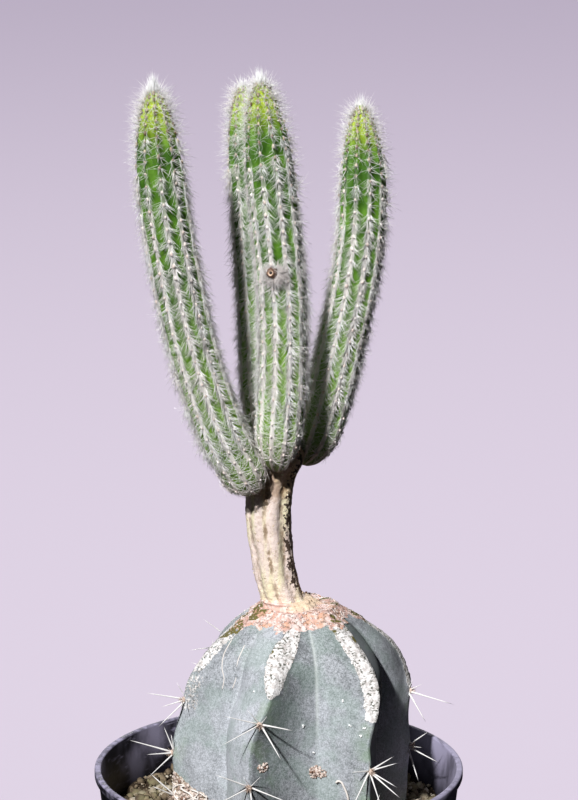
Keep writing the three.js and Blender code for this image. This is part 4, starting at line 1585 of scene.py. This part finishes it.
# %% [markdown]
# ## The graft's callus
# Where the two cacti grew together, the wound healed in a low swollen ledge round the trunk's foot. It is
# a ring whose middle shifts to the left as it rises, so that it is broad on the right. Each row of its
# table gives a radius, a height and where the middle lies.

# %% Callus
CALLUS_ROWS = [
    (0, 131.2, 4.8),
    (9.6, 131.2, 4.8),
    (10.3, 131.9, 4.8),
    (9.6, 132.6, 4.6),
    (8.8, 133.2, 4.2),
    (7.8, 133.9, 3.4),
    (6.9, 134.8, 2.4),
    (6.2, 135.6, 1.5),
    (0, 135.9, 1),
]
CALLUS_COLUMNS, CALLUS_STEPS = 130, 44
CALLUS_FOLDS = [(0.55, 2.4), (0.3, 0.9), (0.15, 0.45)]
LEDGE_TOP, LEDGE_RIGHT, ORANGE_SPAN = (133.3, 134.6), (1, 5), (2, 6, 13, 16)


def callus_point(turn, rise, lift=0.0):
    """A point on the ledge. It is folded and pitted, most of all on its outside."""
    radius, height = spline([row[:2] for row in CALLUS_ROWS], rise)
    centre = spline([(row[2], row[1]) for row in CALLUS_ROWS], rise).x
    out = Vector((math.sin(math.tau * turn), -math.cos(math.tau * turn), 0))
    plain = Vector((centre, 0, height)) + out * radius
    rough = sum(share * noise.noise(plain / size) for share, size in CALLUS_FOLDS)
    radius = max(0, radius + (rough + lift) * min(1, radius / 4))
    return Vector((centre, 0, height + 0.6 * rough)) + out * radius


def callus_skin(turn, rise):
    """The ledge, with masks for the orange stain on its right and for the cream of its top."""
    spot = callus_point(turn, rise)
    top = step(spot.z, *LEDGE_TOP)
    start, full, fading, end = ORANGE_SPAN
    stain_and_shade = step(spot.x, start, full) * (1 - step(spot.x, fading, end)) * (1 - top)
    return spot, (stain_and_shade, top * step(spot.x, *LEDGE_RIGHT))


callus = Finish("graft_callus", 0.85, 0.25)
callus.colour(callus.mix(callus.cloud(1.4, 5, 0.4, 0.62), "e2bcae", "f6e4dc"))
callus.coat(callus.times(callus.attribute("ledge"), 0.8), "f2d9b8")
callus.coat(callus.mark("stain_and_shade", 2.2, 4, 1.25, 1.55), "dd9a68")
callus.coat(callus.cloud(0.8, 5, 0.6, 0.7, 0, 0.6), "947963")
callus.relief(callus.noise(0.4, 4), 0.2)
callus_bm = rolled_skin(CALLUS_COLUMNS, CALLUS_STEPS, ("stain_and_shade", "ledge"), callus_skin)
add_piece(callus_bm, "graft_callus", callus, "corky_bark")

# %% [markdown]
# ## Crust round the graft
# Below the ledge lies a crust of scales and crumbs less than a millimetre across, pink and cream inside
# and white along its edge. Each is set on the skin by a matrix that follows the skin's slope.


# %% Graft crust
CRUST_CRUMBS, CALLUS_CRUMBS = 440, 40
CRUST_REACH = 10.5
CRUST_SIZES, CRUST_LUMPS = (0.35, 0.9), FLAKES + CRUMBS[:2]


def on_stock(degrees, height, lift=0.0):
    """A matrix on the rootstock's skin: Z away from it and Y up along it."""

    def skin_at(turn, level):
        return stock_point(turn, crest_radius(level) * rib_share(turn, level), level)

    along = skin_at(degrees, min(STOCK_TOP, height + 0.3)) - skin_at(degrees, height - 0.3)
    across = skin_at(degrees + 0.5, height) - skin_at(degrees - 0.5, height)
    normal = across.cross(along).normalized()
    return facing(normal, along.normalized(), skin_at(degrees, height) + normal * lift)


def scale_turn(draw, size, tilt):
    """Turns and scales a flake on the spot where a matrix has put it."""
    turn = Matrix.Rotation(draw.uniform(0, math.tau), 4, "Z")
    return turn @ twist(draw, tilt, "X") @ Matrix.Scale(size, 4)


def crust_crumbs():
    draw = random.Random(81)
    bm = stamping("tone")
    placed = 0
    while placed < CRUST_CRUMBS:
        degrees, height = draw.uniform(0, 360), STOCK_TOP - CRUST_REACH * draw.random() ** 1.6
        spot = stock_point(degrees, crest_radius(height) * rib_share(degrees, height), height)
        bare = crust_mask(degrees, height, spot) < 0.5
        if bare and cork_mask(degrees, height, spot) < draw.uniform(0.5, 3):
            continue
        edge = crust_mask(degrees, height - 1.8, spot) < 0.5
        if not edge and draw.random() < 0.75:
            continue
        size = draw.uniform(*CRUST_SIZES)
        place = on_stock(degrees, height, 0.35) @ scale_turn(draw, size, 0.5)
        tone = draw.uniform(0, 0.4) if edge else draw.uniform(0.2, 1)
        stamp(bm, draw.choice(CRUST_LUMPS), place, tone=tone)
        placed += 1
    for _ in range(CALLUS_CRUMBS):
        turn, rise = draw.random(), draw.uniform(0.2, 0.75)
        spot = callus_point(turn, rise, 0.05)
        size = draw.uniform(*CRUST_SIZES)
        stamp(bm, draw.choice(CRUST_LUMPS), lump_place(draw, spot, size), tone=draw.uniform(0, 1))
    return bm


crust = Finish("graft_crust", 0.9, 0.2)
crust_pink = crust.mix(crust.noise(1.5, 2), "d8a792", "efcfc2")
crust_white = crust.mix(crust.noise(0.9, 2), "d2c4bd", "f4e8e3")
crust.colour(crust.mix(crust.band(crust.attribute("tone"), 0.3, 0.8), crust_white, crust_pink))
crust.relief(crust.noise(0.35, 3), 0.12)
add_piece(crust_crumbs(), "graft_crust", crust, "corky_bark")

# %% [markdown]
# ## Bark scales
# Small scales of bark stick out along the trunk's ridges, so its outline is ragged.

# %% Bark scales
BARK_SCALES = 420


def bark_scales():
    draw = random.Random(83)
    bm = stamping("tone")
    for _ in range(BARK_SCALES):
        turn, rise = draw.random(), draw.uniform(0.08, 0.86)
        spot, furrow = trunk_point(turn, rise, -0.05)
        out = trunk_point(turn, rise, 1)[0] - spot
        place = facing(out.normalized(), UP, spot)
        size = draw.uniform(0.4, 1.0) * (1.15 - 0.5 * furrow)
        stamp(bm, draw.choice(FLAKES), place @ scale_turn(draw, size, 0.7), tone=draw.random())
    return bm


scales = Finish("bark_scales", 0.9, 0.15)
scales.colour(scales.mix(scales.attribute("tone"), "cbb595", "faf0d8"))
scales.coat(scales.cloud(0.6, 3, 0.5, 0.7), "d8c3a4")
scales.relief(scales.noise(0.4, 3), 0.08)
add_piece(bark_scales(), "trunk_scales", scales, "corky_bark")

# %% [markdown]
# ## Scabs and specks
# The skin has a few old wounds: crumbly brown-pink scabs, white specks, fine pale cracks and one dry
# fibre with a hook. The left rib's foot is covered with dry flakes and small dead roots. A scab is
# given by its place on the skin, its two half widths and its number of crumbs.

# %% Scabs and specks
SCABS = [
    (64.9, 97.4, 1.1, 1.4, 30),
    (97.7, 93.3, 3.1, 1.6, 90),
    (205, 101, 2.2, 1.5, 40),
    (283, 112, 1.6, 2, 34),
]
SPECKS = [
    (48, 116.8),
    (85, 106.7),
    (103.6, 113.7),
    (110.4, 107.3),
    (116.3, 106.8),
    (116, 104.7),
    (96.2, 98.9),
]
PALE_CRACKS = [
    [(10, 126.5), (13.5, 123.2), (17, 120), (20, 117.5), (21, 114)],
    [(24, 126), (25, 122), (26.5, 118), (26, 114.5)],
]
HOOKED_FIBRE = [(107.2, 91.4), (108, 91.9), (109.3, 91.7), (110.5, 90.3), (111.6, 88.6), (112.4, 86.4)]
DRY_FLAKES, DEAD_ROOTS = 260, 22


def skin_route(places, lift):
    return [on_stock(degrees, height, lift).translation / MM for degrees, height in places]


def stock_scabs():
    draw = random.Random(87)
    bm = stamping("tone")
    for degrees, height, wide, tall, count in SCABS:
        for _ in range(count):
            reach, turn = math.sqrt(draw.random()), draw.uniform(0, math.tau)
            across = math.degrees(wide * reach * math.cos(turn) / crest_radius(height))
            place = on_stock(degrees + across, height + tall * reach * math.sin(turn), 0.4 * (1 - reach))
            lump = place @ scale_turn(draw, draw.uniform(0.5, 1.1), 0.8)
            stamp(bm, draw.choice(CRUMBS), lump, tone=draw.uniform(0, 0.95))
    for degrees, height in SPECKS:
        for _ in range(3):
            place = on_stock(degrees + draw.uniform(-0.6, 0.6), height + draw.uniform(-0.3, 0.3), 0.1)
            stamp(bm, draw.choice(CRUMBS), place @ scale_turn(draw, draw.uniform(0.4, 0.75), 0.8), tone=2.0)
    for _ in range(DRY_FLAKES):
        degrees = draw.uniform(-14, 24)
        height = DRY_FOOT[0] - DRY_FOOT[1] * max(0, degrees) - 12 * draw.random()
        flake = on_stock(degrees, height, 0.4) @ scale_turn(draw, draw.uniform(0.5, 1.6), 1.0)
        stamp(bm, draw.choice(FLAKES), flake, tone=draw.uniform(0, 0.9))
    return bm


def stock_fibres():
    draw = random.Random(89)
    bm = bmesh.new()
    add_fibre(bm, skin_route(HOOKED_FIBRE, 0.4), 0.3)
    for crack in PALE_CRACKS:
        add_fibre(bm, skin_route(crack, 0.05), 0.15)
    for _ in range(DEAD_ROOTS):
        degrees, height = draw.uniform(-10, 20), draw.uniform(77, 86)
        places = [(degrees, height)]
        for _ in range(4):
            degrees += draw.uniform(-5, 5)
            height -= draw.uniform(-0.6, 2.4)
            places.append((degrees, height))
        add_fibre(bm, skin_route(places, draw.uniform(0.4, 1)), draw.uniform(0.14, 0.26))
    bmesh.ops.recalc_face_normals(bm, faces=bm.faces)
    return bm


scab = Finish("scabs", 0.9, 0.15)
scab_tone = scab.attribute("tone")
mottled = scab.times(scab_tone, scab.cloud(0.7, 4, 0.3, 0.5, 0.5, 1))
scab.colour(scab.mix(mottled, "80604f", "f6e8df"))
scab.coat(scab.band(scab_tone, 1, 1.5), "ffffff")
scab.relief(scab.noise(0.3, 3), 0.08)
add_piece(stock_scabs(), "rootstock_scabs", scab, "rootstock_skin")
fibre = Finish("dry_fibre", 0.8, 0.2)
fibre.colour(fibre.mix(fibre.noise(1.1, 3), "d9cec5", "fdf8f4"))
fibre.relief(fibre.noise(0.4, 2), 0.04)
add_piece(stock_fibres(), "rootstock_fibres", fibre, "rootstock_skin")

# %% [markdown]
# ## Soil
# The pot is filled with gritty mix. A closed bed gives its body, and stones of two to four millimetres
# lie packed on it, with finer grit between them.

# %% Soil bed
SOIL_GAP, SOIL_BELOW_RIM = 0.3, 14
SOIL_TOP = POT_HEIGHT - SOIL_BELOW_RIM
BED_SIDE, BED_TOP = 0.2, 0.4
BED_COLUMNS, BED_ROWS = 150, 60
SOIL_EDGE = pot_inside(SOIL_TOP) - SOIL_GAP
SOIL_FOOT = FLOOR_HEIGHT + FLOOR_THICKNESS + SOIL_GAP


def soil_height(x, y):
    """The soil's top, which rolls gently by a millimetre up and down."""
    waves = math.sin(x * 0.31 + 1) * math.cos(y * 0.27) + 0.6 * math.sin(x * 0.12 - y * 0.55)
    return SOIL_TOP + 0.7 * waves


def soil_skin(turn, rise):
    """The bed's underside, its side from BED_SIDE on, and its top from BED_TOP on."""
    angle = math.tau * turn
    if rise < BED_SIDE:
        radius, height = (pot_inside(SOIL_FOOT) - CORNER) * rise / BED_SIDE, SOIL_FOOT
    elif rise < BED_TOP:
        share = (rise - BED_SIDE) / (BED_TOP - BED_SIDE)
        height = blend(SOIL_FOOT + CORNER, SOIL_TOP, share)
        radius = pot_inside(height) - SOIL_GAP
    else:
        radius = SOIL_EDGE * (1 - rise) / (1 - BED_TOP)
        height = soil_height(radius * math.cos(angle), radius * math.sin(angle))
    spot = Vector((radius * math.cos(angle), radius * math.sin(angle), height))
    if rise >= BED_TOP:
        spot.z += 0.35 * noise.noise(spot / 1.3) * min(1, (SOIL_EDGE - radius) / 2)
    return spot, ()


soil = Finish("gritty_soil", 0.95, 0.15)
soil.colour(soil.mix(soil.noise(3, 4), "4a3b2b", "8a7a60"))
soil.coat(soil.band(soil.cells(1.4), 0.1, 0.5), "3a2f24")
soil.relief(soil.noise(0.8, 4), 0.4)
add_piece(rolled_skin(BED_COLUMNS, BED_ROWS, (), soil_skin), "soil_bed", soil, "potting_grit", "soil")

# %% Stones on the soil
STONES, GRIT = 820, 2000


def outside_stock(x, y):
    """How far a point on the soil is from the rootstock's outline, in millimetres."""
    degrees = math.degrees(math.atan2(x - AXIS_BELOW, -y)) - FIRST_RIB
    outline = crest_radius(SOIL_TOP) * rib_share(degrees, SOIL_TOP)
    return math.hypot(x - AXIS_BELOW, y) - outline


def scattered(draw, count, sizes, meshes, bm, sink):
    """Strews lumps over the soil between the rootstock and the wall."""
    placed = 0
    while placed < count:
        turn, reach = draw.uniform(0, math.tau), SOIL_EDGE * math.sqrt(draw.random())
        size = blend(*sizes, draw.random() ** 1.5)
        x, y = reach * math.cos(turn), reach * math.sin(turn)
        if reach > SOIL_EDGE - size * 0.5 or outside_stock(x, y) < size * 0.3:
            continue
        spot = Vector((x, y, soil_height(x, y) + size * sink + draw.uniform(0, 0.5)))
        stamp(bm, draw.choice(meshes), lump_place(draw, spot, size), tone=draw.random())
        placed += 1


stones_bm = stamping("tone")
stone_draw = random.Random(91)
scattered(stone_draw, STONES, (1.7, 3.8), LUMPS, stones_bm, 0.1)
scattered(stone_draw, GRIT, (0.6, 1.4), CRUMBS, stones_bm, 0.4)
stone = Finish("pumice_and_clay", 0.9, 0.2)
stone_tone = stone.attribute("tone")
stone.colour(stone.mix(stone.band(stone_tone, 0.1, 0.6), "54473a", "8a7a64"))
stone.coat(stone.band(stone_tone, 0.6, 0.95), "c8bfae")
stone.coat(stone.cloud(3.5, 2, 0.42, 0.62, 0, 0.5), "8d8a66")
stone.coat(stone.cloud(1.2, 3, 0.4, 0.7), "776955")
stone.relief(stone.noise(0.5, 3), 0.15)
add_piece(stones_bm, "soil_stones", stone, "potting_grit")

# %% [markdown]
# ## Bud scar
# Halfway up the front arm a bud has dried and fallen. It left a mound of grey-pink wool with a small
# brown collar. A pale ring on its rolled rim is a painted highlight, and the dark middle of its dimple is
# painted shade.

# %% Bud scar
BUD_AT = Vector((-1.1, -18, 228.8))
WOOL_SHIFT = Vector((0.4, 0, -0.7))
COLLAR_LIFT, COLLAR_SIZE = 0.35, 0.84
BUD_FACING = Vector((-0.32, -0.94, 0.12)).normalized()
BUD_WOOL, BUD_FLAT, BUD_HAIRS = 3.8, 0.7, 900


def bud_wool():
    draw = random.Random(17)
    bm = bmesh.new()
    bmesh.ops.create_icosphere(bm, subdivisions=3, radius=BUD_WOOL * 0.66 * MM)
    bmesh.ops.scale(bm, verts=bm.verts, vec=(1, 1, BUD_FLAT))
    for _ in range(BUD_HAIRS):
        turn, lean = draw.uniform(0, math.tau), draw.uniform(-0.2, 1.05)
        out = polar(turn, lean)
        stray = Vector((draw.uniform(-1, 1), draw.uniform(-1, 1), draw.uniform(-1, 1)))
        heading = (out + stray).normalized()
        root = Vector((out.x, out.y, out.z * BUD_FLAT)) * BUD_WOOL * 0.6
        add_strand(bm, root, heading, twist(draw, 0.7, out, 3), draw.uniform(1.2, 3), HAIR_RADIUS)
    place = facing(BUD_FACING, UP, BUD_AT + WOOL_SHIFT)
    bmesh.ops.transform(bm, matrix=place, verts=bm.verts)
    return bm


def bud_collar():
    """A short flared tube with a thick rolled rim and a dimple, turned about Z and then put in place."""
    rim = arc((1.0, 2.75), 0.28, -60, 200, 8)
    bm = turned([(0, 1.2), (1.8, 1.2), (1.4, 2.1), *rim, (0.7, 2.62), (0.3, 2.6), (0, 2.6)], 24)
    dimple = bm.verts.layers.float.new("dimple")
    for vert in bm.verts:
        vert[dimple] = 1 - step(math.hypot(vert.co.x, vert.co.y) / MM, 0.1, 1.0)
    place = facing(BUD_FACING, UP, BUD_AT + BUD_FACING * COLLAR_LIFT)
    bmesh.ops.transform(bm, matrix=place @ Matrix.Scale(COLLAR_SIZE, 4), verts=bm.verts)
    for vert in bm.verts:
        vert.co += vert.normal * 0.22 * MM * noise.noise(vert.co / (0.6 * MM))
    return bm


bud = Finish("bud_wool", 0.95, 0.1)
bud.colour(bud.mix(bud.noise(0.8, 3), "ddd0ca", "fffcfb"))
bud.sheen(0.8)
add_piece(bud_wool(), "bud_wool", bud, "hairy_stem")
collar = Finish("dried_collar", 0.7)
collar_dip = collar.attribute("dimple")
collar.colour(collar.mix(collar.noise(0.6, 3), "46291c", "8e6a52"))
# Painted highlight: a pale ring on the rolled rim.
collar.coat(collar.band(collar_dip, 0.02, 0.12), "e2c6ae")
# Painted shade: the dark middle of the dimple.
collar.coat(collar.band(collar_dip, 0.45, 0.65), "1c120d")
add_piece(bud_collar(), "bud_collar", collar, "hairy_stem")

# %% [markdown]
# ## Size
# The dressed plant is meant to stay inside the imported model's box. The box of what is drawn is printed in
# millimetres.

# %% The visual box
low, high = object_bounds()
print("visual box in mm:", [round(value / MM, 1) for value in (*low, *high)])
